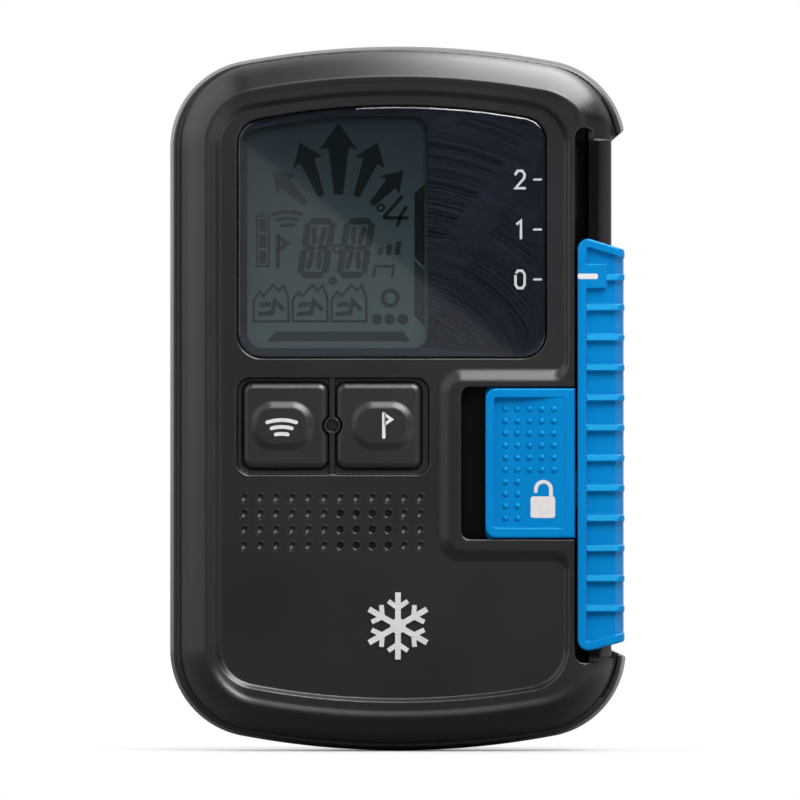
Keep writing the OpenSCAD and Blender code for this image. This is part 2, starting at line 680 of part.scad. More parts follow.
module antenna_z_core() color([0.25, 0.24, 0.24]) rod_y(antenna_z_at[0], antenna_z_y, antenna_z_at[1], 2.5);

module antenna_z_coil() color([0.72, 0.42, 0.2]) difference() {
    rod_y(antenna_z_at[0], antenna_z_y, antenna_z_at[1], antenna_z_r);
    rod_y(antenna_z_at[0], [-10, 15], antenna_z_at[1], 2.5);
}

// ---------- sound ----------

module speaker_membrane() color([0.85, 0.85, 0.85])
    rod_y(speaker_x, [inner_y, inner_y + 0.1], speaker_z, speaker_r - 0.4);

module speaker_gasket() color([0.1, 0.1, 0.1]) difference() {
    rod_y(speaker_x, [inner_y + 0.1, inner_y + 0.7], speaker_z, speaker_r - 0.4);
    rod_y(speaker_x, [inner_y, inner_y + 1], speaker_z, speaker_r - 1.6);
}

module speaker() color([0.3, 0.3, 0.32]) {
    rod_y(speaker_x, [inner_y + 0.7, inner_y + 2.2], speaker_z, speaker_r - 0.2);
    rod_y(speaker_x, [inner_y + 2.1, board_front_y - 0.6], speaker_z, 5);
}

// ---------- battery compartment ----------

cell_side = [1, -1, 1];
cell_len = 43.7;
nub_len = 0.8;
spring_gap = 4.6;
plate_t = 0.3;

// Each cell's nub touches the plate on side s, and its flat end meets the spring on the other side
module battery_cells() color([0.75, 0.62, 0.2]) for (i = [0:2]) {
    s = cell_side[i];
    nub_end = s * (tub_x - plate_t - 0.5);
    body_a = nub_end - s * nub_len;
    body_b = body_a - s * cell_len;
    rod_x([min(body_a, body_b), max(body_a, body_b)], cell_y, cell_z[i], cell_r);
    rod_x([min(nub_end, body_a - s * 0.05), max(nub_end, body_a - s * 0.05)], cell_y, cell_z[i], 2.4);
}

module contact_plates() color([0.8, 0.8, 0.78]) for (i = [0:2]) {
    s = cell_side[i];
    for (side = [-1, 1])
        block([side > 0 ? tub_x - plate_t : -tub_x, side > 0 ? tub_x : -tub_x + plate_t],
            [cell_y - 4, cell_y + 4], [cell_z[i] - 4.2, cell_z[i] + 4.2]);
    rod_x([s > 0 ? tub_x - plate_t - 0.5 : -tub_x, s > 0 ? tub_x : -tub_x + plate_t + 0.5], cell_y, cell_z[i], 1.6);
}

module contact_springs() color([0.85, 0.85, 0.85]) for (i = [0:2]) {
    s = cell_side[i];
    reach = 2 * (tub_x - plate_t) - 0.5 - nub_len - cell_len;
    translate([-s * (tub_x - plate_t), cell_y, cell_z[i]]) rotate([0, s * 90, 0])
        coil([3.4, 2], 0.35, reach, 3);
}

module door_2d(grow) {
    top = door_top_z + grow;
    block_2d([-door_x - grow, door_x + grow], [hinge_z - grow, top - 4]);
    block_2d([-door_x - grow, door_x + grow], [top - 20, top], 3);
    translate([0, door_screw_z - 1]) circle(door_tab_r + grow);
}

module door_seal_2d(grow) {
    difference() {
        block_2d([-tub_x - 1.5 - grow, tub_x + 1.5 + grow], [tub_z[0] - 1.5 - grow, tub_z[1] + 1.5 + grow], 1.5);
        block_2d([-tub_x - 0.6 + grow, tub_x + 0.6 - grow], [tub_z[0] - 0.6 + grow, tub_z[1] + 0.6 - grow], 0.8);
    }
}

module battery_door() color([0.15, 0.15, 0.16]) difference() {
    union() {
        slab([door_y, door_back_y]) difference() {
            door_2d(0);
            translate([-40, hinge_z - 1]) square([80, 1.02]);
        }
        rod_x([-door_x, door_x], hinge_y, hinge_z, barrel_r);
        rod_y(0, [back_inner_y - 1.1, door_y + 0.1], door_screw_z, 4.6);
    }
    rod_x([-door_x - 1, door_x + 1], hinge_y, hinge_z, hinge_pin_r + 0.06);
    rod_y(0, [0, back_y + 1], door_screw_z, 1.6);
    rod_y(0, [back_y - 1.8, back_y + 1], door_screw_z, 3.6);
    for (i = [0:4]) block([-12, 12], [back_y - 0.5, back_y + 1], [-16 - 3 * i, -14.8 - 3 * i]);
}

module door_seal() color([0.1, 0.1, 0.1]) slab([back_inner_y - 0.6, door_y]) door_seal_2d(0);

module door_hinge_pin() color([0.7, 0.7, 0.7])
    rod_x([-door_x - 1.5, door_x + 1.5], hinge_y, hinge_z, hinge_pin_r);

module door_screw() color([0.72, 0.72, 0.74]) difference() {
    union() {
        rod_y(0, [back_y - 1.75, back_y - 0.25], door_screw_z, 3.4);
        rod_y(0, [back_y - 6.1, back_y - 1.7], door_screw_z, 1.3);
    }
    block([-4, 4], [back_y - 1.2, back_y + 1], [door_screw_z - 0.5, door_screw_z + 0.5]);
}

module door_screw_insert() color([0.75, 0.6, 0.25]) difference() {
    rod_y(0, [tub_floor_y + 3.2, back_inner_y - 1.4], door_screw_z, 2.1);
    rod_y(0, [tub_floor_y + 2, back_y], door_screw_z, 1.6);
}

// ---------- fasteners and trim ----------

module housing_screws() color([0.35, 0.35, 0.37]) for (b = housing_bosses) difference() {
    union() {
        rod_y(b[0], [back_inner_y + 0.12, back_y - 0.3], b[1], 2.05);
        rod_y(b[0], [parting_y - 2.3, back_inner_y + 0.2], b[1], 1.1);
    }
    for (q = [[0.9, 0.22], [0.22, 0.9]])
        block([b[0] - q[0], b[0] + q[0]], [back_y - 1.1, back_y], [b[1] - q[1], b[1] + q[1]]);
}

module housing_inserts() color([0.75, 0.6, 0.25]) for (b = housing_bosses) difference() {
    rod_y(b[0], [parting_y - 2.35, parting_y - 0.05], b[1], 1.6);
    rod_y(b[0], [parting_y - 3, parting_y], b[1], 1.12);
}

module strap_bar() color([0.75, 0.75, 0.76])
    rod_x([-strap_recess[0] / 2 - 1, strap_recess[0] / 2 + 1], back_y - 1.9, strap_z, strap_bar_r);

// A plain six-armed snow crystal
module badge() color([0.8, 0.8, 0.8]) {
    arm = 5.6;
    bar = 0.95;
    branch = 2;
    slab([floor_y - 0.4, floor_y]) translate([0, -38]) {
        for (a = [0:60:300]) rotate(a + 30) {
            translate([0, -bar / 2]) square([arm, bar]);
            for (b = [-55, 55]) translate([arm - 2.6, 0]) rotate(b) translate([0, -0.4]) square([branch, 0.8]);
        }
        circle(1.3);
    }
}

module rating_label() color([0.6, 0.6, 0.6])
    slab([back_y - 0.2, back_y - 0.05]) block_2d([-20, 20], [14, 38], 1.8);

front_shell();
rear_shell();
main_seal();
display_window();
display_mask();
window_gasket();
lcd_panel();
lcd_backlight();
lcd_frame();
lcd_connector();
scan_key();
mark_key();
keypad_mat();
tact_switches();
led_lens();
status_led();
mode_slider();
slider_magnet();
detent_spring();
lock_button();
lock_spring();
main_board();
main_chip();
radio_shield();
bluetooth_module();
hall_sensors();
board_screws();
antenna_x_core();
antenna_x_coil();
antenna_y_core();
antenna_y_coil();
antenna_z_core();
antenna_z_coil();
speaker();
speaker_gasket();
speaker_membrane();
battery_cells();
contact_plates();
contact_springs();
battery_door();
door_seal();
door_hinge_pin();
door_screw();
door_screw_insert();
housing_screws();
housing_inserts();
strap_bar();
badge();
rating_label();
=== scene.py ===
"""An avalanche transceiver: finished surfaces, materials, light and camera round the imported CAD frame."""

import functools
import math

import bmesh
import bpy
import numpy as np
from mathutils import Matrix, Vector


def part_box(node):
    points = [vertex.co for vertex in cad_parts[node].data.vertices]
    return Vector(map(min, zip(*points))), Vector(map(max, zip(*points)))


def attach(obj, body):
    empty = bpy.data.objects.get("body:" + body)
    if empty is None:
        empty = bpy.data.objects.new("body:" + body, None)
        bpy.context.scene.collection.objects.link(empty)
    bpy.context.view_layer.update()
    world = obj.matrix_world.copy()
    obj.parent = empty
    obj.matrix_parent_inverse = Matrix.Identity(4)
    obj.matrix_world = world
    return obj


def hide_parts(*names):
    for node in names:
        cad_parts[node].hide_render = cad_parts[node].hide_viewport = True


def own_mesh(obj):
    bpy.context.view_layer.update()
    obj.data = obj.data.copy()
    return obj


MM = 0.001
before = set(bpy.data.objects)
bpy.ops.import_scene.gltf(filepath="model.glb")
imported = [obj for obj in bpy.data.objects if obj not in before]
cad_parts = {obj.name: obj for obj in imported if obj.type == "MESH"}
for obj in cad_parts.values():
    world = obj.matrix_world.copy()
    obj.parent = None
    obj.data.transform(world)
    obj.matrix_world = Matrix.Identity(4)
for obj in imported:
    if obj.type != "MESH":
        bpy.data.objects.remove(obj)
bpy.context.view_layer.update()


def limits(node):
    """A CAD node's (x0, x1), (y0, y1), (z0, z1) in millimetres."""
    low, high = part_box(node)
    return [(a / MM, b / MM) for a, b in zip(low, high)]


def middle(span):
    return (span[0] + span[1]) / 2


# ---------- sizes in millimetres, in the CAD frame ----------

REAR = limits("rear_shell")
FRONT = limits("front_shell")
WINDOW = limits("display_window")
MASK_Y = limits("display_mask")[1][0]
LCD = limits("lcd_panel")
SLIDER = limits("mode_slider")
LOCK = limits("lock_button")
LOCK_SPRING = limits("lock_spring")
KEYS = [limits("scan_key"), limits("mark_key")]
DOOR = limits("battery_door")
SCREW = limits("door_screw")

# Casing: half sizes, depths from front to back, and the outline's corners and bowed ends
HALF_W = -REAR[0][0]
HALF_H = REAR[2][1]
BACK_Y = REAR[1][1]
FRONT_Y = SLIDER[1][0]
CREST_Y = FRONT[1][0]
FLOOR_Y = CREST_Y + 1.2
INNER_Y = FLOOR_Y + 2.0
PART_Y = -7.5
SEAM = 0.2
CORNER_R = 14.7
END_R = 140.0
# The bezel's slope is an arc in section: its radius, and its centre's inset and depth
BEZEL = (14.16, 14.32, -2.68)
# The recessed face and the notch that the lock pocket's raised ground cuts into it
FACE = ((-30.1, 28.2), (-50.45, 51.05))
FACE_END_R = 130
NOTCH = ((7.75, 60), (-26.3, 3.9))
SCREW_WELLS = [(-30.2, 42), (25.2, 47), (-21, -48.9), (21, -48.9)]
BAY = ((-24.4, 24.4), (-41.3, -7.1))
STRAP_RECESS = ((-5.5, 5.5), (-54.4, -49.2))
LABEL_RECESS = ((-20.2, 20.2), (13.8, 38.2))

# The slider's track, its slot in the front, the rail between front and side, the scale and the ribs
TRACK_X = 29.6
SLOT_X = 31.5
SLOT_Y = -9.2
RAIL_X = 35.7
RAIL_Y = -12.0
MODE_Z = 19.9
MODE_PITCH = 8.35
RIB_PITCH = 5.03
RIB_Z0 = -35.1
RIB_HALF = 0.58
RIB_COUNT = 12
RELIEF = 1.15

# Lock button in its pocket
POCKET = ((10.6, 40), (-23.5, 1.9))
POCKET_Y = -9.9
LOCK_X = (LOCK[0][0], 29.6)
LOCK_Z = (-23.3, 1.7)
LOCK_FOOT_Y = POCKET_Y - 0.15
SPRING_CHANNEL = ((LOCK_X[0] + 2.2, LOCK_X[0] + 12.8), (-11.9, -9.7))

# Keys, with the status light between them
KEY_Z = middle(KEYS[0][2])
KEY_X = [middle(key[0]) for key in KEYS]
KEY_W = 14.2
KEY_H = 14.35
KEY_TOP_Y = -12.7
KEY_FACE_Y = KEY_TOP_Y - 0.5
LIGHT = (-11.0, KEY_Z)

# Speaker grille, from its upper left cup, and the block of its cups that go through
GRILLE_X = -25.66
GRILLE_Z = -16.55
GRILLE_PITCH = 2.67
GRILLE_COLS = 12
GRILLE_ROWS = 4
OPEN_COLS = range(6, 10)
OPEN_ROWS = range(1, 4)

# Battery door, its screw and the hinge's axis in y and z
DOOR_SCREW = (0, middle(SCREW[2]))
HINGE = (13.45, -44.3)
DOOR_X = (-26.3, 26.3)
DOOR_TOP = -4.9
DOOR_FOOT = HINGE[1] - 1.0

# ---------- distance fields: negative inside, in millimetres ----------


def both(*solids):
    """The common part of all the solids."""
    return functools.reduce(np.maximum, solids)


def either(*solids):
    """All the solids together."""
    return functools.reduce(np.minimum, solids)


def round_both(a, b, r):
    """The common part of two solids, its outer edge rounded to radius r."""
    return np.minimum(-r, np.maximum(a, b)) + np.hypot(np.maximum(r + a, 0), np.maximum(r + b, 0))


def round_either(a, b, r):
    """Both solids together, the inner corner between them filleted to radius r."""
    return -round_both(-a, -b, r)


def cut(a, b, r):
    """Solid a without solid b, the edge between them rounded to radius r."""
    return round_both(a, -b, r)


def smooth_step(t):
    t = np.clip(t, 0, 1)
    return t * t * (3 - 2 * t)


def between(v, low, high):
    return np.maximum(low - v, v - high)


def circle(u, v, centre, r):
    return np.hypot(u - centre[0], v - centre[1]) - r


def oblong(x, z, centre, half, r=0.0):
    """A rectangle with corners of radius r in the plane of the first two coordinates."""
    qx = np.abs(x - centre[0]) - half[0] + r
    qz = np.abs(z - centre[1]) - half[1] + r
    return np.hypot(np.maximum(qx, 0), np.maximum(qz, 0)) + np.minimum(np.maximum(qx, qz), 0) - r


def rectangle(x, z, xs, zs, r=0.0):
    """The same between two limits in each direction."""
    return oblong(x, z, (middle(xs), middle(zs)), ((xs[1] - xs[0]) / 2, (zs[1] - zs[0]) / 2), r)


def bowed(x, z, xs, zs, ends, r, flat_bottom=False):
    """A rounded oblong whose upper and lower edges are arcs of radius ends about the line x = 0."""
    top_c, low_c = zs[1] - ends, zs[0] + ends
    top = np.hypot(x, z - top_c) - ends + np.where(z > top_c, 0, -1e3)
    low = zs[0] - z if flat_bottom else np.hypot(x, z - low_c) - ends + np.where(z < low_c, 0, -1e3)
    d = both(between(x, xs[0], xs[1]), both(top, low))
    for side in (-1, 1):
        cx = xs[1] - r if side > 0 else xs[0] + r
        for up in (-1, 1):
            if up < 0 and flat_bottom:
                cz, lean = zs[0] + r, math.pi / 2
            else:
                arc_c = top_c if up > 0 else low_c
                rise = math.sqrt((ends - r) ** 2 - cx * cx)
                cz, lean = arc_c + up * rise, math.atan2(rise, abs(cx))
            u, v = side * (x - cx), up * (z - cz)
            corner = (v >= 0) & (u * math.sin(lean) - v * math.cos(lean) >= 0)
            d = np.where(corner, np.hypot(u, v) - r, d)
    return d


def outline(x, z):
    return bowed(x, z, (-HALF_W, HALF_W), (-HALF_H, HALF_H), END_R, CORNER_R)


def front_outline(x, z):
    """What the bezel's slope is measured from: it stands further in at the sides than at the top."""
    return bowed(x, z, (0.7 - HALF_W, HALF_W - 0.7), (0.25 - HALF_H, HALF_H + 0.1), END_R, CORNER_R)


def window_2d(x, z):
    return bowed(x, z, WINDOW[0], WINDOW[2], 122, 4, flat_bottom=True)


# ---------- meshing ----------

CORNERS = [(i, j, k) for i in (0, 1) for j in (0, 1) for k in (0, 1)]


def surface_net(field, low, high, pitch):
    """Points and outward quads of the field's zero surface on a grid of that pitch."""
    low = np.array(low, float)
    count = [int(math.ceil((b - a) / pitch)) + 1 for a, b in zip(low, high)]
    x, y, z = (low[i] + pitch * np.arange(count[i]) for i in range(3))
    values = field(x[:, None, None], y[None, :, None], z[None, None, :])
    values = np.ascontiguousarray(np.broadcast_to(values, count), np.float32)
    inside = values < 0
    total = np.zeros([n - 1 for n in count], np.int8)
    for i, j, k in CORNERS:
        total += inside[i:count[0] - 1 + i, j:count[1] - 1 + j, k:count[2] - 1 + k]
    active = (total > 0) & (total < 8)
    cells = np.argwhere(active)
    number = np.full(active.shape, -1, np.int32)
    number[active] = np.arange(len(cells))
    at = {c: values[cells[:, 0] + c[0], cells[:, 1] + c[1], cells[:, 2] + c[2]] for c in CORNERS}
    spot, hits = np.zeros((len(cells), 3)), np.zeros(len(cells))
    for a in CORNERS:
        for axis in range(3):
            if a[axis]:
                continue
            b = tuple(1 if i == axis else a[i] for i in range(3))
            crossed = (at[a] < 0) != (at[b] < 0)
            share = np.where(crossed, at[a] / np.where(crossed, at[a] - at[b], 1), 0)
            point = np.tile(np.array(a, float), (len(cells), 1))
            point[:, axis] += share
            spot += point * crossed[:, None]
            hits += crossed
    points = low + pitch * (cells + spot / hits[:, None])
    quads = []
    for axis in range(3):
        u, v = (axis + 1) % 3, (axis + 2) % 3
        first, second = [slice(1, -1)] * 3, [slice(1, -1)] * 3
        first[axis], second[axis] = slice(0, -1), slice(1, None)
        near = inside[tuple(first)]
        change = near != inside[tuple(second)]
        node = np.argwhere(change)
        node[:, u] += 1
        node[:, v] += 1
        ring = []
        for du, dv in ((1, 1), (0, 1), (0, 0), (1, 0)):
            cell = node.copy()
            cell[:, u] -= du
            cell[:, v] -= dv
            ring.append(number[cell[:, 0], cell[:, 1], cell[:, 2]])
        ring = np.stack(ring, 1)
        back = ~near[change]
        ring[back] = ring[back][:, ::-1]
        quads.append(ring)
    return points, np.concatenate(quads)


def gradient(field, p, h=0.02):
    """The field's gradient at the points p, by central differences."""
    g = np.zeros_like(p)
    for axis in range(3):
        step = np.zeros(3)
        step[axis] = h
        a, b = p + step, p - step
        g[:, axis] = (field(a[:, 0], a[:, 1], a[:, 2]) - field(b[:, 0], b[:, 1], b[:, 2])) / (2 * h)
    return g


def settle(field, p, reach):
    """Moves points onto the field's zero surface and returns them with the surface's normals."""
    for _ in range(3):
        g = gradient(field, p)
        size = np.maximum((g * g).sum(1), 0.05)
        step = (field(p[:, 0], p[:, 1], p[:, 2]) / size)[:, None] * g
        length = np.linalg.norm(step, axis=1)[:, None]
        p = p - step * np.minimum(1, reach / np.maximum(length, 1e-9))
    g = gradient(field, p)
    return p, g / np.maximum(np.linalg.norm(g, axis=1), 1e-6)[:, None]


def link(name, mesh):
    obj = bpy.data.objects.new(name, mesh)
    bpy.context.scene.collection.objects.link(obj)
    return obj


def mesh_of(name, points, quads):
    mesh = bpy.data.meshes.new(name)
    mesh.vertices.add(len(points))
    mesh.vertices.foreach_set("co", (points * MM).astype(np.float32).ravel())
    mesh.loops.add(quads.size)
    mesh.loops.foreach_set("vertex_index", quads.astype(np.int32).ravel())
    mesh.polygons.add(len(quads))
    mesh.polygons.foreach_set("loop_start", np.arange(0, quads.size, quads.shape[1], dtype=np.int32))
    mesh.update(calc_edges=True)
    return mesh


def moulded(name, field, low, high, pitch, keep, material, body, slot, *nodes):
    """A solid made from a field: meshed, thinned out to the share keep, and set back on the surface."""
    obj = link(name, mesh_of(name, *surface_net(field, low, high, pitch)))
    if keep < 1:
        thin = obj.modifiers.new("thin", "DECIMATE")
        thin.ratio = keep
        bpy.context.view_layer.update()
        thinned = obj.evaluated_get(bpy.context.evaluated_depsgraph_get())
        made = bpy.data.meshes.new_from_object(thinned)
        obj.modifiers.clear()
        obj.data = made
    mesh = obj.data
    co = np.zeros(len(mesh.vertices) * 3, np.float32)
    mesh.vertices.foreach_get("co", co)
    points, normals = settle(field, co.reshape(-1, 3).astype(float) / MM, pitch * 0.6)
    mesh.vertices.foreach_set("co", (points * MM).astype(np.float32).ravel())
    mesh.polygons.foreach_set("use_smooth", np.ones(len(mesh.polygons), bool))
    mesh.update()
    mesh.normals_split_custom_set_from_vertices([tuple(n) for n in normals])
    return finish_piece(obj, material, body, slot, *nodes)


def finish_piece(obj, material, body, slot, *nodes):
    """Gives a piece its material and body, and takes the CAD nodes it stands for out of sight."""
    obj.data.materials.clear()
    obj.data.materials.append(material)
    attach(obj, body)
    if nodes:
        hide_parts(*nodes)
    return obj


# ---------- materials ----------


def plug(node, inputs):
    """Sets a shader node's inputs, or links them where the value is another node's output."""
    for key, value in inputs.items():
        if isinstance(value, bpy.types.NodeSocket):
            node.id_data.links.new(value, node.inputs[key])
        else:
            node.inputs[key].default_value = value


def node_adder(tree):
    """A function that adds a node of a kind to the tree, with its inputs and settings."""
    def add(kind, inputs=None, **settings):
        made = tree.nodes.new("ShaderNode" + kind)
        for key, value in settings.items():
            setattr(made, key, value)
        plug(made, inputs or {})
        return made

    return add


def shader(name):
    """A new material with its Principled node and the function that adds nodes to it."""
    mat = bpy.data.materials.new(name)
    mat.use_nodes = True
    return mat, mat.node_tree.nodes["Principled BSDF"], node_adder(mat.node_tree)


def surface(mat, closure):
    plug(mat.node_tree.nodes["Material Output"], {"Surface": closure})


def rgba(color):
    return (*color, 1.0)


def noise(add, place, scale, detail):
    return add("TexNoise", {"Vector": place, "Scale": scale, "Detail": detail}).outputs["Fac"]


def stretched(add, place, **settings):
    return add("Mapping", {"Vector": place, **settings}).outputs["Vector"]


def remap(add, value, low, high, to_low=0.0, to_high=1.0):
    """Takes value from the range low to high to the other range, and holds it there."""
    ends = {"From Min": low, "From Max": high, "To Min": to_low, "To Max": to_high}
    return add("MapRange", {"Value": value, **ends}).outputs["Result"]


def combine(add, operation, *values):
    return add("Math", dict(enumerate(values)), operation=operation).outputs["Value"]


def times(add, *values):
    return functools.reduce(lambda a, b: combine(add, "MULTIPLY", a, b), values)


def multiplied(add, first, second):
    made = add("MixRGB", {"Fac": 1.0, "Color1": first, "Color2": second}, blend_type="MULTIPLY")
    return made.outputs["Color"]


def ramp(add, factor, low, high, first=0.35, last=0.65):
    """A colour that runs from low to high as factor goes from first to last."""
    made = add("ValToRGB", {"Fac": factor})
    made.color_ramp.elements[0].position = first
    made.color_ramp.elements[1].position = last
    made.color_ramp.elements[0].color = rgba(low)
    made.color_ramp.elements[1].color = rgba(high)
    return made.outputs["Color"]


def bump(add, bsdf, height, strength, depth):
    made = add("Bump", {"Height": height, "Strength": strength, "Distance": depth * MM})
    plug(bsdf, {"Normal": made.outputs["Normal"]})


def painted_crevice_shade(add, place, crevice):
    """A painted-shade factor: 1 on open faces, less where it is deep, and little in the track and lock
    pocket, which are painted dark as shade.
    """
    painted_shade_factor = add("AmbientOcclusion", {"Distance": crevice * MM}, samples=6, only_local=True).outputs["AO"]
    painted_shade_factor = remap(add, painted_shade_factor, 0.15, 0.55, to_low=0.12)
    spot = add("SeparateXYZ", {"Vector": place}).outputs
    height = combine(add, "ABSOLUTE", spot["Z"])
    off_rail = remap(add, spot["X"], 34.2 * MM, 33.4 * MM)
    # Painted shade in the slider's track
    track = remap(add, spot["X"], TRACK_X * MM, (TRACK_X + 0.5) * MM)
    track = times(add, track, remap(add, height, 43.6 * MM, 43.0 * MM))
    # Painted shade on the floor of the lock pocket
    pocket = times(add, remap(add, spot["Y"], (FLOOR_Y + 0.6) * MM, (FLOOR_Y + 1.2) * MM),
                   combine(add, "GREATER_THAN", spot["X"], (POCKET[0][0] - 1) * MM),
                   combine(add, "LESS_THAN", height, 30 * MM))
    shade = times(add, combine(add, "MAXIMUM", track, pocket), off_rail)
    return times(add, painted_shade_factor, remap(add, shade, 0.0, 1.0, 1.0, 0.22))


def plastic(name, color, roughness=0.45, grain=0.22, depth=0.5, tint=1.25, scuffs=0.06, shine=(1, 1, 1),
            crevice=0.0):
    """Moulded plastic: a fine spark-eroded grain, faint colour drift and a few hairline scuffs.

    With a crevice size in mm, deep places, the slider's track and the lock pocket get painted shade: darker
    and less shiny.
    """
    mat, bsdf, add = shader(name)
    place = add("TexCoord").outputs["Object"]
    drift = noise(add, place, 60.0, 3.0)
    base = ramp(add, drift, color, [min(1, c * tint) for c in color])
    lines = noise(add, stretched(add, place, Scale=(1.0, 1.0, 9.0), Rotation=(0.3, 0.5, 0.4)), 1400.0, 2.0)
    lines = ramp(add, lines, (0, 0, 0), (1, 1, 1), 0.62, 0.72)
    patches = ramp(add, noise(add, place, 95.0, 2.0), (0, 0, 0), (1, 1, 1), 0.52, 0.68)
    scuff = times(add, multiplied(add, lines, patches), scuffs)
    rubbed = rgba([min(1, c * 2 + 0.05) for c in color])
    final = add("MixRGB", {"Fac": scuff, "Color1": base, "Color2": rubbed}).outputs["Color"]
    if crevice:
        # Painted shade: crevices, the track and the lock pocket are darkened and dulled as if in shadow
        painted_shade_factor = painted_crevice_shade(add, place, crevice)
        final = multiplied(add, final, painted_shade_factor)
        plug(bsdf, {"Specular IOR Level": times(add, painted_shade_factor, 0.5)})
    spread = remap(add, drift, 0.0, 1.0, roughness - 0.05, roughness + 0.06)
    plug(bsdf, {"Base Color": final, "Specular Tint": rgba(shine), "Roughness": spread})
    cells = add("TexVoronoi", {"Vector": place, "Scale": 1000.0 / grain}).outputs["Distance"]
    bump(add, bsdf, combine(add, "ADD", cells, noise(add, place, 420.0 / grain, 3.0)), depth, 0.012)
    return mat


def metal(name, color, roughness=0.3, brush=0.15, axis=(1, 1, 30)):
    """Metal with a fine directional brushing."""
    mat, bsdf, add = shader(name)
    place = add("TexCoord").outputs["Object"]
    lines = noise(add, stretched(add, place, Scale=axis), 900.0, 4.0)
    base = ramp(add, lines, [c * 0.85 for c in color], color)
    spread = remap(add, lines, 0.0, 1.0, roughness - 0.08, roughness + 0.12)
    plug(bsdf, {"Base Color": base, "Metallic": 1.0, "Roughness": spread})
    bump(add, bsdf, lines, brush, 0.01)
    return mat


def printed(name, color, roughness=0.5, strength=0.12):
    """Pad-printed ink: slightly uneven and a touch worn."""
    mat, bsdf, add = shader(name)
    patches = noise(add, add("TexCoord").outputs["Object"], 2600.0, 3.0)
    base = ramp(add, patches, [c * (1 - strength) for c in color], color, 0.3, 0.55)
    plug(bsdf, {"Base Color": base, "Roughness": roughness})
    bump(add, bsdf, patches, 0.2, 0.005)
    return mat


def clear_glass(name, tint, roughness, ior=1.5):
    """Glass that lets light straight through; its front mirrors by Fresnel, with faint smears."""
    mat, bsdf, add = shader(name)
    smear = noise(add, add("TexCoord").outputs["Object"], 45.0, 4.0)
    spread = remap(add, smear, 0.0, 1.0, roughness, roughness + 0.03)
    through = add("BsdfTransparent", {"Color": rgba(tint)}).outputs["BSDF"]
    shine = add("BsdfAnisotropic", {"Color": (1, 1, 1, 1), "Roughness": spread}).outputs["BSDF"]
    fresnel = add("Fresnel", {"IOR": ior}).outputs["Fac"]
    front = combine(add, "SUBTRACT", 1.0, add("NewGeometry").outputs["Backfacing"])
    share = times(add, fresnel, front)
    surface(mat, add("MixShader", {0: share, 1: through, 2: shine}).outputs["Shader"])
    mat.node_tree.nodes.remove(bsdf)
    return mat


def display_face():
    """The display's cell: greenish grey under a smooth polariser, with painted shade that darkens it from
    foot to head.
    """
    mat, bsdf, add = shader("lcd_face")
    place = add("TexCoord").outputs["Object"]
    height = add("SeparateXYZ", {"Vector": place}).outputs["Z"]
    up = remap(add, height, LCD[2][0] * MM, LCD[2][1] * MM)
    # Painted shade: the cell's colour darkens towards its top
    base = ramp(add, up, (0.046, 0.070, 0.066), (0.012, 0.021, 0.025), 0.1, 0.95)
    grain = noise(add, place, 5000.0, 1.0)
    mixed = add("MixRGB", {"Fac": 0.01, "Color1": base, "Color2": grain}).outputs["Color"]
    plug(bsdf, {"Base Color": mixed, "Roughness": 0.06})
    return mat


BLACK = plastic("black_plastic", (0.0056, 0.0056, 0.0061), roughness=0.31, crevice=5.0)
REAR_BLACK = plastic("rear_black_plastic", (0.0105, 0.0105, 0.0115), roughness=0.29, grain=0.3)
KEY_BLACK = plastic("key_plastic", (0.0100, 0.0100, 0.0105), roughness=0.33, grain=0.18, depth=0.35)
BLUE = plastic("blue_plastic", (0.0002, 0.190, 0.530), roughness=0.40, grain=0.25, depth=0.3, tint=1.05,
               scuffs=0.02, shine=(0.10, 0.85, 0.60))
MASK = plastic("mask_ink", (0.0085, 0.0105, 0.0160), roughness=0.45, grain=1.0, depth=0.02, scuffs=0.0,
               shine=(0.35, 0.42, 0.55))
RUBBER = plastic("rubber", (0.010, 0.010, 0.010), roughness=0.7, grain=0.4)
BOARD = plastic("solder_resist", (0.006, 0.075, 0.030), roughness=0.35, grain=0.5, depth=0.2)
CHIP = plastic("chip_resin", (0.012, 0.012, 0.013), roughness=0.5)
WHITE = plastic("white_plastic", (0.70, 0.71, 0.69), roughness=0.45)
FERRITE = plastic("ferrite", (0.040, 0.037, 0.036), roughness=0.55, grain=0.5)
LENS = plastic("light_lens", (0.006, 0.006, 0.007), roughness=0.12, depth=0.02, scuffs=0.0)
LABEL = plastic("label_film", (0.16, 0.16, 0.165), roughness=0.35, grain=0.6, depth=0.15)
STEEL = metal("steel", (0.56, 0.56, 0.57), roughness=0.32)
BLACK_STEEL = metal("black_steel", (0.09, 0.09, 0.095), roughness=0.35)
BADGE_METAL = metal("badge_metal", (0.82, 0.82, 0.83), roughness=0.45, axis=(1, 1, 14))
COPPER = metal("copper_wire", (0.75, 0.36, 0.16), roughness=0.3, brush=0.8, axis=(1, 1, 60))
BRASS = metal("brass", (0.75, 0.55, 0.20), roughness=0.3)
CELL = metal("cell_sleeve", (0.42, 0.30, 0.09), roughness=0.35, axis=(1, 30, 30))
GLASS = clear_glass("window_glass", (0.86, 0.89, 0.93), 0.01)
WHITE_INK = printed("white_ink", (0.72, 0.70, 0.69))
LCD_DARK = printed("lcd_dark", (0.0030, 0.0062, 0.0070), 0.06)
LCD_FAINT = printed("lcd_faint", (0.0085, 0.0145, 0.0150), 0.06)

# ---------- casing ----------


def track_field(x, y, z):
    """The sunken track of the mode slider, open to the right, its upper end leaning over."""
    slant = 0.22 * np.maximum(x - SLOT_X, 0)
    top = z - 45.25 + slant + 0.5 * np.clip(y + 12.8, 0, 1.2)
    low = -44.15 + 0.75 * slant - z
    return round_both(TRACK_X - x, both(top, low), 1.6)


def horn_y(x, z):
    """Depth of the surface that sweeps back to the casing's edge above and below the track."""
    start = np.where(z > 0, 29.9, 30.3)
    return CREST_Y - 0.05 + 0.35 * smooth_step((x - 26) / 4) + 0.157 * np.maximum(x - start, 0) ** 2


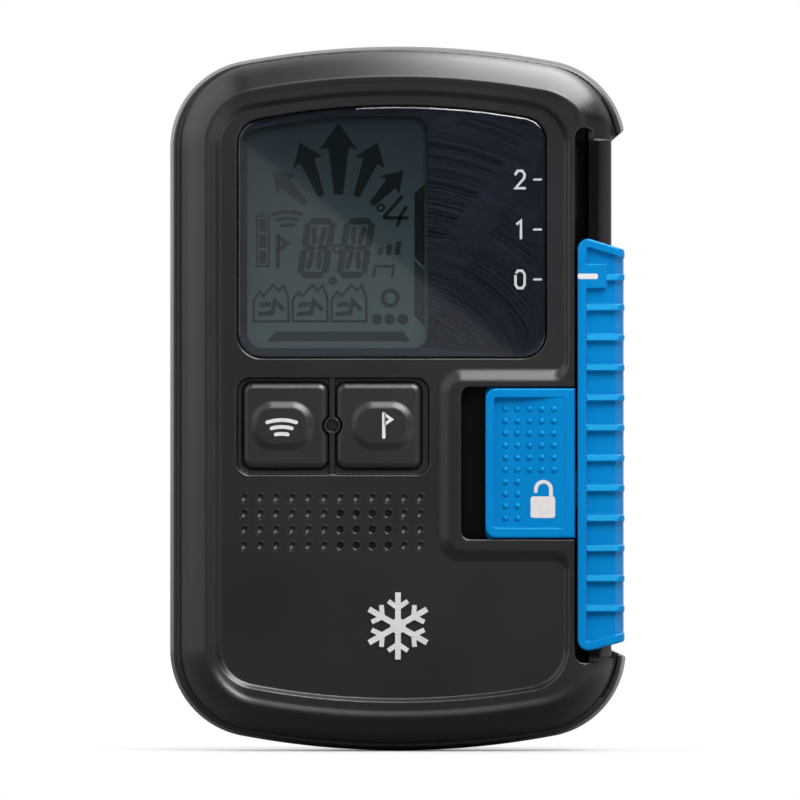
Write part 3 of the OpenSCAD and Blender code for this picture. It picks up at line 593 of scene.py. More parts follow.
def face_level(x, z, inset):
    """Depth of the front inside the crest: a ledge, then a soft step down to the recessed face."""
    face = bowed(x, z, *FACE, FACE_END_R, 7)
    notch = rectangle(x, z, *NOTCH, 3.0)
    recess = cut(face, notch, 2.2)
    ledge = CREST_Y + 0.33 * smooth_step((inset - 5.2) / 1.6)
    ledge = ledge + 0.24 * np.clip(inset - 6.1, 0, 2.6) * smooth_step((-22 - x) / 7)
    width = 1.15 + 1.35 * smooth_step(0.5 - (notch + face) / 4) - 0.35 * smooth_step((-46 - z) / 3)
    return ledge + (FLOOR_Y - ledge) * smooth_step(0.5 - recess / width)


def slider_rail(x, y):
    rail = round_both(round_both(x - RAIL_X, RAIL_Y - y, 1.5), SLOT_X - x, 1.0)
    return either(rail, both(x - RAIL_X, SLOT_Y - y))


def key_openings(x, y, z):
    """The sunken key field and the keys' holes, with a bar between them and a ring round the light."""
    bar = either(between(x, LIGHT[0] - 0.5, LIGHT[0] + 0.5), circle(x, z, LIGHT, 1.5))
    bar = both(bar, FLOOR_Y + 0.05 - y)
    sunken = rectangle(x, z, (KEY_X[0] - 8.1, KEY_X[1] + 8.4), (KEY_Z - 8.15, KEY_Z + 7.9), 2.2)
    holes = either(*[oblong(x, z, (key_x, KEY_Z), (7.3, 7.4), 1.6) for key_x in KEY_X])
    return (both(cut(sunken, bar, 0.1), y - FLOOR_Y - 0.9),
            both(cut(holes, bar, 0.1), y - INNER_Y - 1),
            both(circle(x, z, LIGHT, 0.85), y))


def grille_seats(x, y, z):
    """Wide flat-bottomed seats; the dimples themselves are fine-meshed cups."""
    col = np.clip(np.round((x - GRILLE_X) / GRILLE_PITCH), 0, GRILLE_COLS - 1)
    row = np.clip(np.round((GRILLE_Z - z) / GRILLE_PITCH), 0, GRILLE_ROWS - 1)
    across = circle(x, z, (GRILLE_X + col * GRILLE_PITCH, GRILLE_Z - row * GRILLE_PITCH), 0.72)
    return both(across, y - FLOOR_Y - 0.9)


def front_field(x, y, z):
    inset = -front_outline(x, z)
    radius, centre_inset, centre_y = BEZEL
    slope = np.hypot(np.minimum(inset - centre_inset, 0), y - centre_y) - radius
    body = round_both(slope, y - PART_Y, 0.15)
    body = round_both(body, (face_level(x, z, inset) - y) * 0.85, 0.2)
    # Hollow behind the face
    hollow = round_both(6.0 - inset, both(x - 27.6, INNER_Y - y), 0.8)
    hollow = cut(hollow, both(rectangle(x, z, (8.6, 40), (-25.5, 3.9)), y + 8.5), 0.2)
    body = cut(body, hollow, 0.2)
    # The sweep above and below the track, the track itself, its slot and its rail
    sweep = both((y - horn_y(x, z)) * 0.8, 43.3 - np.abs(z))
    body = cut(body, sweep, 0.25)
    body = cut(body, both(track_field(x, y, z), -slider_rail(x, y)), 0.22)
    # Lock pocket with the way in for the tongue
    pocket = both(rectangle(x, z, *POCKET, 1.4), y - POCKET_Y, x - SLOT_X)
    tongue = both(rectangle(x, z, (29, 33.2), (-18.2, -11.8)), between(y, POCKET_Y - 1.2, POCKET_Y))
    body = cut(body, either(pocket, tongue), 0.25)
    # Window seat with the display opening
    seat = both(window_2d(x, z) - 0.15, y + 11.0)
    opening = both(rectangle(x, z, (-25.2, 5.0), (8.4, 47.3), 2.6), window_2d(x, z) + 1.3)
    body = cut(body, seat, 0.3)
    body = cut(body, both(opening, y), 0.1)
    for space, edge in zip(key_openings(x, y, z), (0.3, 0.1, 0.25)):
        body = cut(body, space, edge)
    return cut(body, grille_seats(x, y, z), 0.05)


def side_end(x, z):
    """Upper and lower end of the opening in the rear shell's side, along which the slider runs."""
    out = np.maximum(x - RAIL_X, 0)
    top = z - (43.1 + 0.85 * out)
    low = -42.2 - 0.4 * out - z
    return round_both(top, low, 0.1)


def rear_hollow(x, y, z, inset):
    """The room inside, less the walls round the battery bay, the hinge, the strap bar and the screws."""
    hollow = round_both(round_both(2.3 - inset, y - 12.6, 5.5), x - 31.8, 1.0)
    walls = [(rectangle(x, z, (-26.6, 26.6), (-43.5, -4.9)), 0.3),
             (circle(x, z, DOOR_SCREW, 3.9), 3.7),
             (rectangle(x, z, (-28.2, 28.2), (-46.7, -43)), 11),
             (rectangle(x, z, (-7.5, 7.5), (-55.2, -47.6)), 8)]
    for plan, front in walls:
        hollow = cut(hollow, both(plan, front - y), 0.3)
    for centre in SCREW_WELLS:
        hollow = cut(hollow, circle(x, z, centre, 2.8), 0.3)
    return hollow


def rear_field(x, y, z):
    inset = -outline(x, z)
    barrel = 0.72 * ((y - 2) / 9.5) ** 2
    body = round_both(barrel - inset, y - BACK_Y, 7.5)
    body = round_both(body, PART_Y + SEAM - y, 0.3)
    rebate = both(0.76 + front_outline(x, z), 1.5 + outline(x, z), y - PART_Y - 0.7)
    body = cut(body, rebate, 0.08)
    body = cut(body, rear_hollow(x, y, z, inset), 0.2)
    # Side opening for the slider, with the groove its rear edge runs in and the detent leaf's slot
    side = both(RAIL_X - x, side_end(x, z))
    groove = both(33.4 - x, between(y, 4.1, 6.4), side_end(x, z) - 0.3)
    body = cut(body, either(side, groove), 0.3)
    leaf = both(rectangle(y, z, (-1.5, 1.5), (-24.3, -5.7)), RAIL_X - 1.6 - x)
    body = cut(body, leaf, 0.15)
    # Sunk into the back: battery bay, door seat, the screw's seat and hole, strap, label and screw wells
    sunk = [(rectangle(x, z, *BAY, 0.6), 1.7, 0.2), (door_2d(x, z) - 0.2, 12.6, 0.15),
            (circle(x, z, DOOR_SCREW, 4.9), 11.3, 0.15), (circle(x, z, DOOR_SCREW, 2.1), 4.7, 0.1),
            (rectangle(x, z, *STRAP_RECESS, 1.2), 9.5, 0.5), (rectangle(x, z, *LABEL_RECESS, 2), 14.3, 0.1)]
    sunk += [(circle(x, z, centre, 2.2), 12.7, 0.35) for centre in SCREW_WELLS]
    for plan, floor_y, edge in sunk:
        body = cut(body, both(plan, floor_y - y), edge)
    hinge = either(circle(y, z, HINGE, 1.09), both(HINGE[0] - y, between(z, HINGE[1] - 1.2, HINGE[1])))
    return cut(body, both(hinge, np.abs(x) - 26.5), 0.12)


# ---------- battery door, its screw and the keys ----------


def door_2d(x, z):
    panel = rectangle(x, z, DOOR_X, (DOOR_FOOT, DOOR_TOP), 2.6)
    square_foot = rectangle(x, z, DOOR_X, (DOOR_FOOT, -20))
    tab = circle(x, z, (0, DOOR_SCREW[1] - 1), 6.2)
    return round_either(either(panel, square_foot), tab, 1.5)


def door_field(x, y, z):
    face_y = DOOR[1][1]
    outer = both(door_2d(x, z), HINGE[1] + 0.02 - z)
    plate = round_both(outer, round_both(y - face_y, 12.75 - y, 0.1), 0.45)
    barrel = round_both(circle(y, z, HINGE, 0.95), np.abs(x) - DOOR_X[1], 0.2)
    boss = both(circle(x, z, DOOR_SCREW, 4.6), between(y, 11.5, 13))
    body = either(plate, barrel, boss)
    body = cut(body, both(circle(x, z, DOOR_SCREW, 3.6), 12.7 - y), 0.3)
    body = cut(body, circle(x, z, DOOR_SCREW, 1.6), 0.1)
    body = cut(body, circle(y, z, HINGE, 0.56), 0.05)
    # Finger grooves that narrow towards the foot, with rounded ridges between them
    row = np.clip(np.round((-14.5 - z) / 2.6), 0, 7)
    width = 15.5 - 1.1 * row
    groove = np.hypot(np.maximum(np.abs(x) - width, 0), (z + 14.5 + row * 2.6)) - 0.8
    depth = np.hypot(np.maximum(groove + 0.8, 0), y - face_y - 0.35) - 0.85
    return cut(body, depth, 0.25)


def screw_field(x, y, z):
    """Coin screw: a slotted, slightly dished head on a threaded shank."""
    from_axis = circle(x, z, DOOR_SCREW, 0)
    top = SCREW[1][1]
    head = round_both(from_axis - 3.4, between(y, top - 1.5, top), 0.35)
    shank = round_both(from_axis - 1.3, between(y, SCREW[1][0], top - 1), 0.3)
    thread = 0.08 * np.sin(2 * math.pi * (y / 0.6 + np.arctan2(z - DOOR_SCREW[1], x) / (2 * math.pi)))
    body = either(head, shank + np.where(y < top - 2.2, 0.08 + thread, 0.1))
    slot = both(np.abs(z - DOOR_SCREW[1]) - 0.5, top - 0.95 - y)
    body = cut(body, slot, 0.15)
    return cut(body, np.hypot(from_axis, y - top - 5.2) - 5.35, 0.1)


def key_field(mid_x):
    """A key: a square plate with a raised pillow, a flange behind it and room for the light's ring."""
    pillow_x = mid_x + math.copysign(0.6, mid_x - LIGHT[0])

    def field(x, y, z):
        plate = oblong(x, z, (mid_x, KEY_Z), (KEY_W / 2, KEY_H / 2), 1.6)
        pillow = oblong(x, z, (pillow_x, KEY_Z), (5.1, 3.9), 3.5)
        level = KEY_TOP_Y + (KEY_FACE_Y - KEY_TOP_Y) * smooth_step((0.35 - pillow) / 1.5)
        shoulder = 0.45 * smooth_step((plate + 1.3) / 1.3) ** 2
        body = round_both(plate, (level + shoulder - y) * 0.85, 0.4)
        body = both(body, y - INNER_Y - 0.1)
        flange = oblong(x, z, (mid_x, KEY_Z), (7.7, 7.9), 1.5)
        body = either(body, both(flange, between(y, INNER_Y + 0.05, INNER_Y + 0.75)))
        return cut(body, circle(x, z, LIGHT, 1.68), 0.2)
    return field


# ---------- slider and lock ----------


def slider_ends(x, z):
    """The slider's raked upper and lower end and its left edge, with rounded corners."""
    top = (z - (SLIDER[2][1] - 0.30 * np.maximum(x - 31.8, 0))) / 1.03
    low = (SLIDER[2][0] + 0.27 * np.maximum(x - 32.2, 0) - z) / 1.03
    return round_both(SLIDER[0][0] - x, both(top, low), 1.8)


def slider_field(x, y, z):
    right, rear = SLIDER[0][1] - 0.25, SLIDER[1][1]
    ends = slider_ends(x, z)
    shell = round_both(round_both(x - right, FRONT_Y - y, 1.9), y - rear, 1.2)
    outer = round_both(shell, ends, 0.35)
    # Ribs whose faces lean back towards their upper edges, between pockets that run out on the side
    rib = np.clip(np.round((z - RIB_Z0) / RIB_PITCH), 0, RIB_COUNT - 1)
    from_rib = z - RIB_Z0 - RIB_PITCH * rib
    lean = np.where(x > SLIDER[0][0] + 1.3, 0.45 * np.clip(from_rib / RIB_HALF, -1, 1) + 0.45, 0)
    ribbed = np.abs(from_rib) - RIB_HALF
    border = either(x - SLIDER[0][0] - 1.5, -1.45 - ends)
    pointer = rectangle(x, z, (20, 34.85), (18.35, 22.5), 0.25)
    solid = either(ribbed, border, pointer)
    floor = both(FRONT_Y + RELIEF - y, 0.86 * (x - 36.3) - 0.5 * (y - FRONT_Y - RELIEF))
    pockets = both(-solid, -floor)
    body = cut(outer, pockets, 0.2)
    wedge = both(ribbed, -either(border, pointer), y - FRONT_Y - 0.4 * lean)
    body = cut(body, wedge, 0.1)
    # The ribs carry on round the side, with shallow finger grooves between them
    side = both(-either(ribbed, -1.45 - ends), right - 0.24 - x, y - rear + 2.0)
    body = cut(body, side, 0.18)
    # Inside: open towards the body, with the lip in front and the edge that grips the rail behind
    body = cut(body, round_both(x - 36.0, between(y, -12.3, 4.4), 1.0), 0.15)
    body = cut(body, both(x - 33.8, 0 - y), 0.15)
    lip_z = either(between(z, SLIDER[2][0] + 2, -35.3), between(z, -11.5, SLIDER[2][1] - 2))
    body = either(body, both(between(x, 30.05, 31.2), between(y, -12.8, -9.5), lip_z))
    dents = either(*[circle(x, z, (36, -15 - n * 8.4), 0.75) for n in range(3)])
    return cut(body, both(dents, np.abs(y) - 2), 0.1)


def scoop_y(x):
    """Depth of the thumb scoop's floor at x, rising to the rim towards the slider."""
    return CREST_Y + 1.3 * (1 - smooth_step((x - LOCK_X[0] - 4.5) / 8.6))


def lock_field(x, y, z):
    block = both(rectangle(x, z, (LOCK_X[0], 60), LOCK_Z, 1.8), x - LOCK_X[1])
    body = round_both(block, round_both(CREST_Y - y, y - LOCK_FOOT_Y, 0.1), 0.35)
    flange = rectangle(x, z, LOCK_X, (LOCK_Z[0] - 0.6, LOCK_Z[1] + 0.6), 1.6)
    body = either(body, both(flange, between(y, LOCK_FOOT_Y - 0.9, LOCK_FOOT_Y)))
    scoop = rectangle(x, z, (LOCK_X[0] + 1.45, LOCK_X[0] + 13.2), (LOCK_Z[0] + 1.7, LOCK_Z[1] - 1.6), 0.4)
    body = cut(body, both(scoop, (y - scoop_y(x)) * 0.95), 0.25)
    body = cut(body, both(rectangle(x, z, *SPRING_CHANNEL), LOCK_FOOT_Y - 1.65 - y), 0.1)
    tongue = both(rectangle(x, z, (28.6, 33), (-18, -12), 0.3), between(y, LOCK_FOOT_Y - 0.9, LOCK_FOOT_Y))
    return either(body, tongue)


# ---------- small parts built from rings ----------


def from_bmesh(name, bm, smooth=True):
    mesh = bpy.data.meshes.new(name)
    bm.normal_update()
    bm.to_mesh(mesh)
    bm.free()
    if smooth:
        mesh.polygons.foreach_set("use_smooth", np.ones(len(mesh.polygons), bool))
    return link(name, mesh)


def vert(bm, x, y, z):
    return bm.verts.new((x * MM, y * MM, z * MM))


def turns(sides):
    return np.linspace(0, 2 * math.pi, sides, endpoint=False)


def round_loop(bm, centre, r, y, sides):
    """A circle of vertices at depth y about a centre in x and z."""
    return [vert(bm, centre[0] + r * math.cos(t), y, centre[1] + r * math.sin(t)) for t in turns(sides)]


def bridge(bm, loops):
    """Joins each loop of vertices to the next one with quads."""
    for a, b in zip(loops, loops[1:]):
        for i in range(len(a)):
            j = (i + 1) % len(a)
            bm.faces.new((a[i], a[j], b[j], b[i]))


def close_with_tip(bm, loop, x, y, z):
    tip = vert(bm, x, y, z)
    for i in range(len(loop)):
        bm.faces.new((loop[i], loop[(i + 1) % len(loop)], tip))


def lock_bumps():
    """Grip bumps: small domes, five columns of six with two of the columns going on for four more."""
    bm = bmesh.new()
    x0, z0, pitch = LOCK_X[0] + 3.35, -1.75, 2.03
    radius, height, sunk, rings = 0.52, 0.42, 0.06, 5
    for col in range(5):
        for row in range(10 if col < 2 else 6):
            cx, cz = x0 + col * pitch, z0 - row * pitch
            levels = []
            for ring_number in range(rings):
                a = math.pi / 2 * ring_number / rings
                y = scoop_y(cx) - (height * math.sin(a) - sunk)
                levels.append(round_loop(bm, (cx, cz), radius * math.cos(a), y, 18))
            bridge(bm, levels)
            close_with_tip(bm, levels[-1], cx, scoop_y(cx) - (height - sunk), cz)
    return from_bmesh("lock_bumps", bm)


def grille_cups():
    """The speaker grille's cups: shallow dimples, and tubes where the sound comes through."""
    bm = bmesh.new()
    top = FLOOR_Y - 0.012
    for col in range(GRILLE_COLS):
        for row in range(GRILLE_ROWS):
            open_hole = col in OPEN_COLS and row in OPEN_ROWS
            centre = (GRILLE_X + col * GRILLE_PITCH, GRILLE_Z - row * GRILLE_PITCH)
            r = 0.58 if open_hole else 0.46
            profile = [(0.86, FLOOR_Y + 0.03), (0.85, top + 0.005), (0.83, top), (r + 0.14, top),
                       (r + 0.05, top + 0.04), (r, top + 0.13)]
            if open_hole:
                profile += [(r, FLOOR_Y + 1.6)]
            else:
                profile += [(r - 0.1, FLOOR_Y + 0.24), (r - 0.22, FLOOR_Y + 0.31)]
            levels = [round_loop(bm, centre, q, y, 24) for q, y in profile]
            bridge(bm, levels)
            if not open_hole:
                close_with_tip(bm, levels[-1], centre[0], FLOOR_Y + 0.34, centre[1])
    return from_bmesh("grille_cups", bm)


def window_loop(inset, sides=360):
    """Points of the window's outline moved in by inset, found along rays from its middle."""
    mid_x, mid_z = middle(WINDOW[0]), middle(WINDOW[2])
    angles = turns(sides)
    low, high = np.zeros(sides), np.full(sides, 60.0)
    for _ in range(40):
        mid = (low + high) / 2
        out = window_2d(mid_x + mid * np.cos(angles), mid_z + mid * np.sin(angles)) + inset > 0
        high = np.where(out, mid, high)
        low = np.where(out, low, mid)
    return [(mid_x + r * math.cos(a), mid_z + r * math.sin(a)) for a, r in zip(angles, low)]


def window_glass():
    """The glass as a closed plate whose front edge is ground to a fine bevel."""
    bm = bmesh.new()
    front, back = WINDOW[1]
    profile = [(0.1, back), (0.02, back - 0.1), (0.02, front + 0.28), (0.1, front + 0.1), (0.3, front)]
    loops = [[vert(bm, x, y, z) for x, z in window_loop(inset)] for inset, y in profile]
    bridge(bm, loops)
    bm.faces.new(loops[-1])
    bm.faces.new(loops[0][::-1])
    obj = from_bmesh("window_glass", bm, smooth=False)
    obj.visible_shadow = False
    finish_piece(obj, GLASS, "casing", "window", "display_window")


def lock_coil():
    """The lock's return spring: round wire wound along x."""
    bm = bmesh.new()
    (start, end), depths, heights = LOCK_SPRING
    mid_y, mid_z = middle(depths), middle(heights)
    wire, per_turn = 0.14, 24
    steps = 9 * per_turn
    radius = (heights[1] - heights[0]) / 2 - wire
    rings = []
    for step in range(steps + 1):
        around = 2 * math.pi * step / per_turn
        x = start + wire + (end - start - 2 * wire) * step / steps
        section = []
        for t in turns(10):
            r = radius + wire * math.cos(t)
            section.append(vert(bm, x + wire * math.sin(t), mid_y + r * math.cos(around),
                                mid_z + r * math.sin(around)))
        rings.append(section)
    bridge(bm, rings)
    bm.faces.new(rings[0][::-1])
    bm.faces.new(rings[-1])
    bmesh.ops.recalc_face_normals(bm, faces=bm.faces)
    coil = finish_piece(from_bmesh("lock_coil", bm), STEEL, "casing", "steel", "lock_spring")
    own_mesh(coil)


# ---------- flat prints ----------

CAP_TURN = math.radians(84)


def stroke(points, width, closed=False, steps=4):
    """A line of that width through the points, with round ends: left and right edges, walked along it."""
    points = [np.array(p, float) for p in points]
    n = len(points)
    if closed and sum(a[0] * b[1] - b[0] * a[1] for a, b in zip(points, points[1:] + points[:1])) < 0:
        points.reverse()
    left, right = [], []
    for i, p in enumerate(points):
        before = p - points[i - 1] if i or closed else points[1] - p
        after = points[(i + 1) % n] - p if i < n - 1 or closed else before
        before, after = before / np.linalg.norm(before), after / np.linalg.norm(after)
        along = (before + after) / np.linalg.norm(before + after)
        normal = np.array((-along[1], along[0]))
        reach = width / 2 / max(0.5, float(along @ after))
        left.append(p + normal * reach)
        right.append(p - normal * reach)
    if closed:
        return [("ring", left, right)]
    for end, inner in ((0, 1), (-1, -2)):
        out = points[end] - points[inner]
        out = out / np.linalg.norm(out)
        half = (left[end] - right[end]) / 2
        for k in range(1, steps + 1):
            turn = CAP_TURN * k / steps
            tip = points[end] + out * width / 2 * math.sin(turn)
            at = 0 if end == 0 else len(left)
            left.insert(at, tip + half * math.cos(turn))
            right.insert(at, tip - half * math.cos(turn))
    return [("strip", left, right)]


def strokes(lines, width, **settings):
    return [shape for line in lines for shape in stroke(line, width, **settings)]


def arc_points(cx, cz, r, start, stop, n=14):
    angles = [math.radians(t) for t in np.linspace(start, stop, n)]
    return [(cx + r * math.cos(a), cz + r * math.sin(a)) for a in angles]


def full_circle(cx, cz, r, n):
    return arc_points(cx, cz, r, 0, 360 * (n - 1) / n, n)


def disc(cx, cz, r):
    return [("fill", full_circle(cx, cz, r, 28))]


def ring(cx, cz, r, width):
    return [("ring", full_circle(cx, cz, r - width / 2, 32), full_circle(cx, cz, r + width / 2, 32))]


def filled(points):
    """A plain polygon, turned counter-clockwise."""
    area = sum(a[0] * b[1] - b[0] * a[1] for a, b in zip(points, points[1:] + points[:1]))
    return [("fill", list(points) if area > 0 else list(points)[::-1])]


def rounded_box(xs, zs, r, n=5, flats=10):
    """A box with rounded corners, in upright slices so that it can follow a curve."""
    bends = [math.radians(6 + 84 * k / n) for k in range(n + 1)]
    lefts = [(xs[0] + r - r * math.cos(a), r - r * math.sin(a)) for a in bends]
    rights = [(xs[1] - r + r * math.cos(a), r - r * math.sin(a)) for a in reversed(bends)]
    flat = [(x, 0.0) for x in np.linspace(xs[0] + r, xs[1] - r, flats + 2)[1:-1]]
    slices = lefts + flat + rights
    upper = [(x, zs[1] - inset) for x, inset in slices]
    lower = [(x, zs[0] + inset) for x, inset in slices]
    return [("strip", upper, lower)]


def sheet(name, shapes, front, thick, material, body, slot):
    """Prints shapes drawn in x and z. front(x, z) or a number gives the y of the ink's outer face."""
    bm = bmesh.new()
    level = front if callable(front) else (lambda x, z: front)

    def drop(p, back=0.0):
        return vert(bm, p[0], level(p[0], p[1]) + back, p[1])

    def wall(loop, top):
        low = [drop(p, thick) for p in loop]
        bridge(bm, [low, top])

    for kind, *loops in shapes:
        tops = [[drop(p) for p in loop] for loop in loops]
        if kind == "fill":
            bm.faces.new(tops[0])
            wall(loops[0], tops[0])
            continue
        left, right = tops
        n = len(left)
        for i in range(n if kind == "ring" else n - 1):
            j = (i + 1) % n
            bm.faces.new((left[i], right[i], right[j], left[j]))
        if kind == "ring":
            wall(loops[1], right)
            wall(loops[0][::-1], left[::-1])
        else:
            wall(loops[1] + loops[0][::-1], right + left[::-1])
    return finish_piece(from_bmesh(name, bm, smooth=False), material, body, slot)


DIGITS = {
    "0": [(-0.5, 0.6), (-0.5, -0.6), (-0.25, -1), (0.25, -1), (0.5, -0.6), (0.5, 0.6), (0.25, 1), (-0.25, 1),
          (-0.5, 0.6)],
    "1": [(-0.3, 0.65), (0.1, 1), (0.1, -1)],
    "2": [(-0.5, 0.6), (-0.25, 1), (0.25, 1), (0.5, 0.6), (0.45, 0.15), (-0.5, -1), (0.52, -1)],
}


def digit(mark, cx, cz, height, width):
    """A plain engraved-style numeral."""
    return stroke([(cx + height / 2 * x * 1.05, cz + height / 2 * z) for x, z in DIGITS[mark]], width)


def waves(cx, cz, size, bold=0.62):
    """Three stacked arcs."""
    shapes = []
    for r, spread, level in ((7.6, 18.5, 0), (6.0, 16.2, -1.15), (4.4, 13.0, -2.3)):
        radius = r * size
        arc = arc_points(cx, cz + level * size - radius, radius, 90 + spread, 90 - spread)
        shapes += stroke(arc, bold * size)
    return shapes


def flag(cx, cz, size):
    """A pennant on a pole."""
    pole = stroke([(cx, cz + 1.95 * size), (cx, cz - 1.95 * size)], 0.56 * size)
    outer = [(cx + x * size, cz + z * size) for x, z in ((0.1, 2.15), (0.1, -0.15), (1.72, 1.0))]
    inner = [(cx + x * size, cz + z * size) for x, z in ((0.3, 1.42), (0.3, 0.6), (0.88, 1.0))]
    return pole + [("ring", inner, outer)]


def padlock():
    """An open padlock on the lock button."""
    shackle = [(25.55, -16.6), (25.55, -15.3)] + arc_points(24.3, -15.15, 1.25, 0, 172, 16) + [(23.02, -15.5)]
    return rounded_box((22.15, 26.25), (-19.95, -16.35), 0.45) + stroke(shackle, 0.62)


def mode_scale():
    """A tick and a numeral for each of the slider's three places."""
    shapes = []
    for step, mark in enumerate("012"):
        z = MODE_Z + MODE_PITCH * step
        shapes += stroke([(22.75, z), (23.9, z)], 0.36)
        shapes += digit(mark, 20.4, z, 2.9, 0.42)
    return shapes


# ---------- what the display shows ----------


def arrow(base, tip, shaft, head, head_length):
    """A tapered arrow from base to tip; shaft is its width at the foot and at the head."""
    base, tip = np.array(base, float), np.array(tip, float)
    along = (tip - base) / np.linalg.norm(tip - base)
    side = np.array((-along[1], along[0]))
    neck = tip - along * head_length
    barb = neck - along * 0.25
    points = [base - side * shaft[0] / 2, neck - side * shaft[1] / 2, barb - side * head / 2, tip,
              barb + side * head / 2, neck + side * shaft[1] / 2, base + side * shaft[0] / 2]
    return filled([tuple(p) for p in points])


def segment_digit(cx, cz):
    """A slanted star-burst digit, all its segments on."""
    w, h, lean = 2.05, 4.5, 0.16

    def slanted(*ends):
        return [(cx + x + lean * z, cz + z) for x, z in ends]

    edge, cross = [], []
    for one in (-1, 1):
        edge.append(slanted((-w + 0.75, one * h), (w - 0.75, one * h)))
        edge.append(slanted((one * 0.62, 0), (one * (w - 0.75), 0)))
        for other in (-1, 1):
            edge.append(slanted((one * w, other * 0.7), (one * w, other * (h - 0.75))))
            cross.append(slanted((one * (w - 1.15), other * (h - 1.35)), (one * 0.55, other)))
    return strokes(edge, 1.12, steps=2) + strokes(cross, 0.85, steps=2)


def battery_gauge():
    shapes = stroke([(-23.6, 22.1), (-23.6, 30.5), (-21.6, 30.5), (-21.6, 22.1)], 0.32, closed=True)
    shapes += filled([(-22.95, 30.75), (-22.25, 30.75), (-22.25, 31.2), (-22.95, 31.2)])
    for k in range(3):
        z = 22.55 + 2.65 * k
        shapes += filled([(-23.25, z), (-21.95, z), (-21.95, z + 2.2), (-23.25, z + 2.2)])
    return shapes


def peak_counter(x):
    """A row of peaks over a slide mark, its left foot at x."""
    peaks = [(x, 12.9), (x, 16.5), (x + 1.0, 17.9), (x + 1.6, 17.1), (x + 3.3, 19.0), (x + 4.2, 18.0),
             (x + 5.0, 18.9), (x + 5.8, 16.9), (x + 5.8, 12.9)]
    shapes = stroke(peaks, 0.42, closed=True)
    shapes += stroke([(x + 1.0, 14.1), (x + 3.1, 14.3), (x + 3.5, 16.3), (x + 4.8, 15.0)], 0.75)
    return shapes + stroke([(x + 1.3, 15.6), (x + 2.5, 15.8)], 0.8)


def dark_segments():
    """The direction arrows, a bearing mark and the bar of the upright outer antenna."""
    shapes = arrow((-9.93, 34.1), (-9.93, 46.0), (1.5, 3.4), 6.3, 4.1)
    shapes += arrow((-12.8, 33.8), (-16.4, 42.8), (1.1, 2.5), 5.3, 3.3)
    shapes += arrow((-6.95, 33.8), (-3.4, 42.8), (1.1, 2.5), 5.3, 3.3)
    shapes += arrow((-4.4, 32.5), (0.95, 38.1), (1.0, 2.1), 4.4, 3.1)
    shapes += filled([(2.75, 23.6), (4.45, 21.9), (4.45, 35.9), (2.75, 34.3)])
    shapes += strokes([[(-2.3, 30.4), (0.6, 33.7)], [(-2.2, 30.2), (1.5, 30.2)]], 0.6)
    shapes += stroke([(-0.1, 29.0), (0.5, 30.6), (1.3, 31.9)], 0.6)
    return shapes + ring(-2.9, 31.9, 0.55, 0.36)


def faint_segments():
    """Everything that is off: the gauge, the icons, two digits, the counters and the right-hand column."""
    shapes = arrow((-15.4, 32.5), (-21.0, 38.1), (1.0, 2.1), 4.4, 3.1)
    shapes += battery_gauge() + waves(-18.5, 31.2, 0.95, 0.75) + flag(-20.1, 24.6, 1.3)
    shapes += segment_digit(-13.6, 25.15) + segment_digit(-7.05, 25.15)
    shapes += disc(-10.9, 19.7, 0.72) + ring(-10.2, 25.05, 0.62, 0.35)
    shapes += filled([(-22.0, 9.55), (2.1, 9.55), (0.9, 11.2), (-20.4, 11.2)])
    shapes += filled([(2.75, 13.8), (4.45, 12.1), (4.45, 21.4), (2.75, 23.1)])
    for k in range(3):
        x = -3.6 + 1.5 * k
        top = 25.2 + 0.5 * k
        shapes += peak_counter(-24.1 + 6.5 * k)
        shapes += filled([(x, 24.0), (x + 0.9, 24.0), (x + 1.2, top), (x + 0.3, top)])
        shapes += disc(-3.5 + 2.15 * k, 13.25, 0.92)
    shapes += stroke([(-4.1, 20.4), (-3.8, 22.1), (-0.7, 22.1), (-1.0, 20.4)], 0.5)
    return shapes + ring(-1.3, 16.8, 1.25, 0.75)


# ---------- assembly ----------

moulded("front_shell_skin", front_field, (-38.5, -14.2, -59.4), (38.6, -7.1, 59.4), 0.25, 0.32, BLACK,
        "casing", "casing", "front_shell")
moulded("rear_shell_skin", rear_field, (-38.8, -8.0, -59.6), (38.8, 15.0, 59.6), 0.38, 0.3, REAR_BLACK,
        "casing", "casing_rear", "rear_shell")
moulded("slider_skin", slider_field, (29.6, -14.9, -42.7), (38.6, 6.6, 27.3), 0.2, 0.5, BLUE,
        "slider", "blue", "mode_slider")
moulded("lock_skin", lock_field, (14.2, -14.0, -24.4), (33.4, -9.6, 2.8), 0.16, 0.4, BLUE,
        "lock", "blue_lock", "lock_button")
for key_x, key_name, key_body in zip(KEY_X, ("scan_key", "mark_key"), ("left_key", "right_key")):
    low, high = (key_x - 8.2, -13.7, KEY_Z - 8.4), (key_x + 8.2, -9.4, KEY_Z + 8.4)
    moulded(key_name + "_cap", key_field(key_x), low, high, 0.15, 0.4, KEY_BLACK,
            key_body, "key", key_name)
moulded("battery_door_skin", door_field, (-26.8, 11.2, -45.7), (26.8, 14.8, 6.0), 0.24, 0.35, REAR_BLACK,
        "door", "casing_rear", "battery_door")
low, high = (-3.8, 8.0, DOOR_SCREW[1] - 3.8), (3.8, 14.7, DOOR_SCREW[1] + 3.8)
moulded("coin_screw", screw_field, low, high, 0.12, 0.5, STEEL,
        "screw", "steel", "door_screw")
finish_piece(lock_bumps(), BLUE, "lock", "blue_lock")
finish_piece(grille_cups(), BLACK, "casing", "casing")
window_glass()
lock_coil()

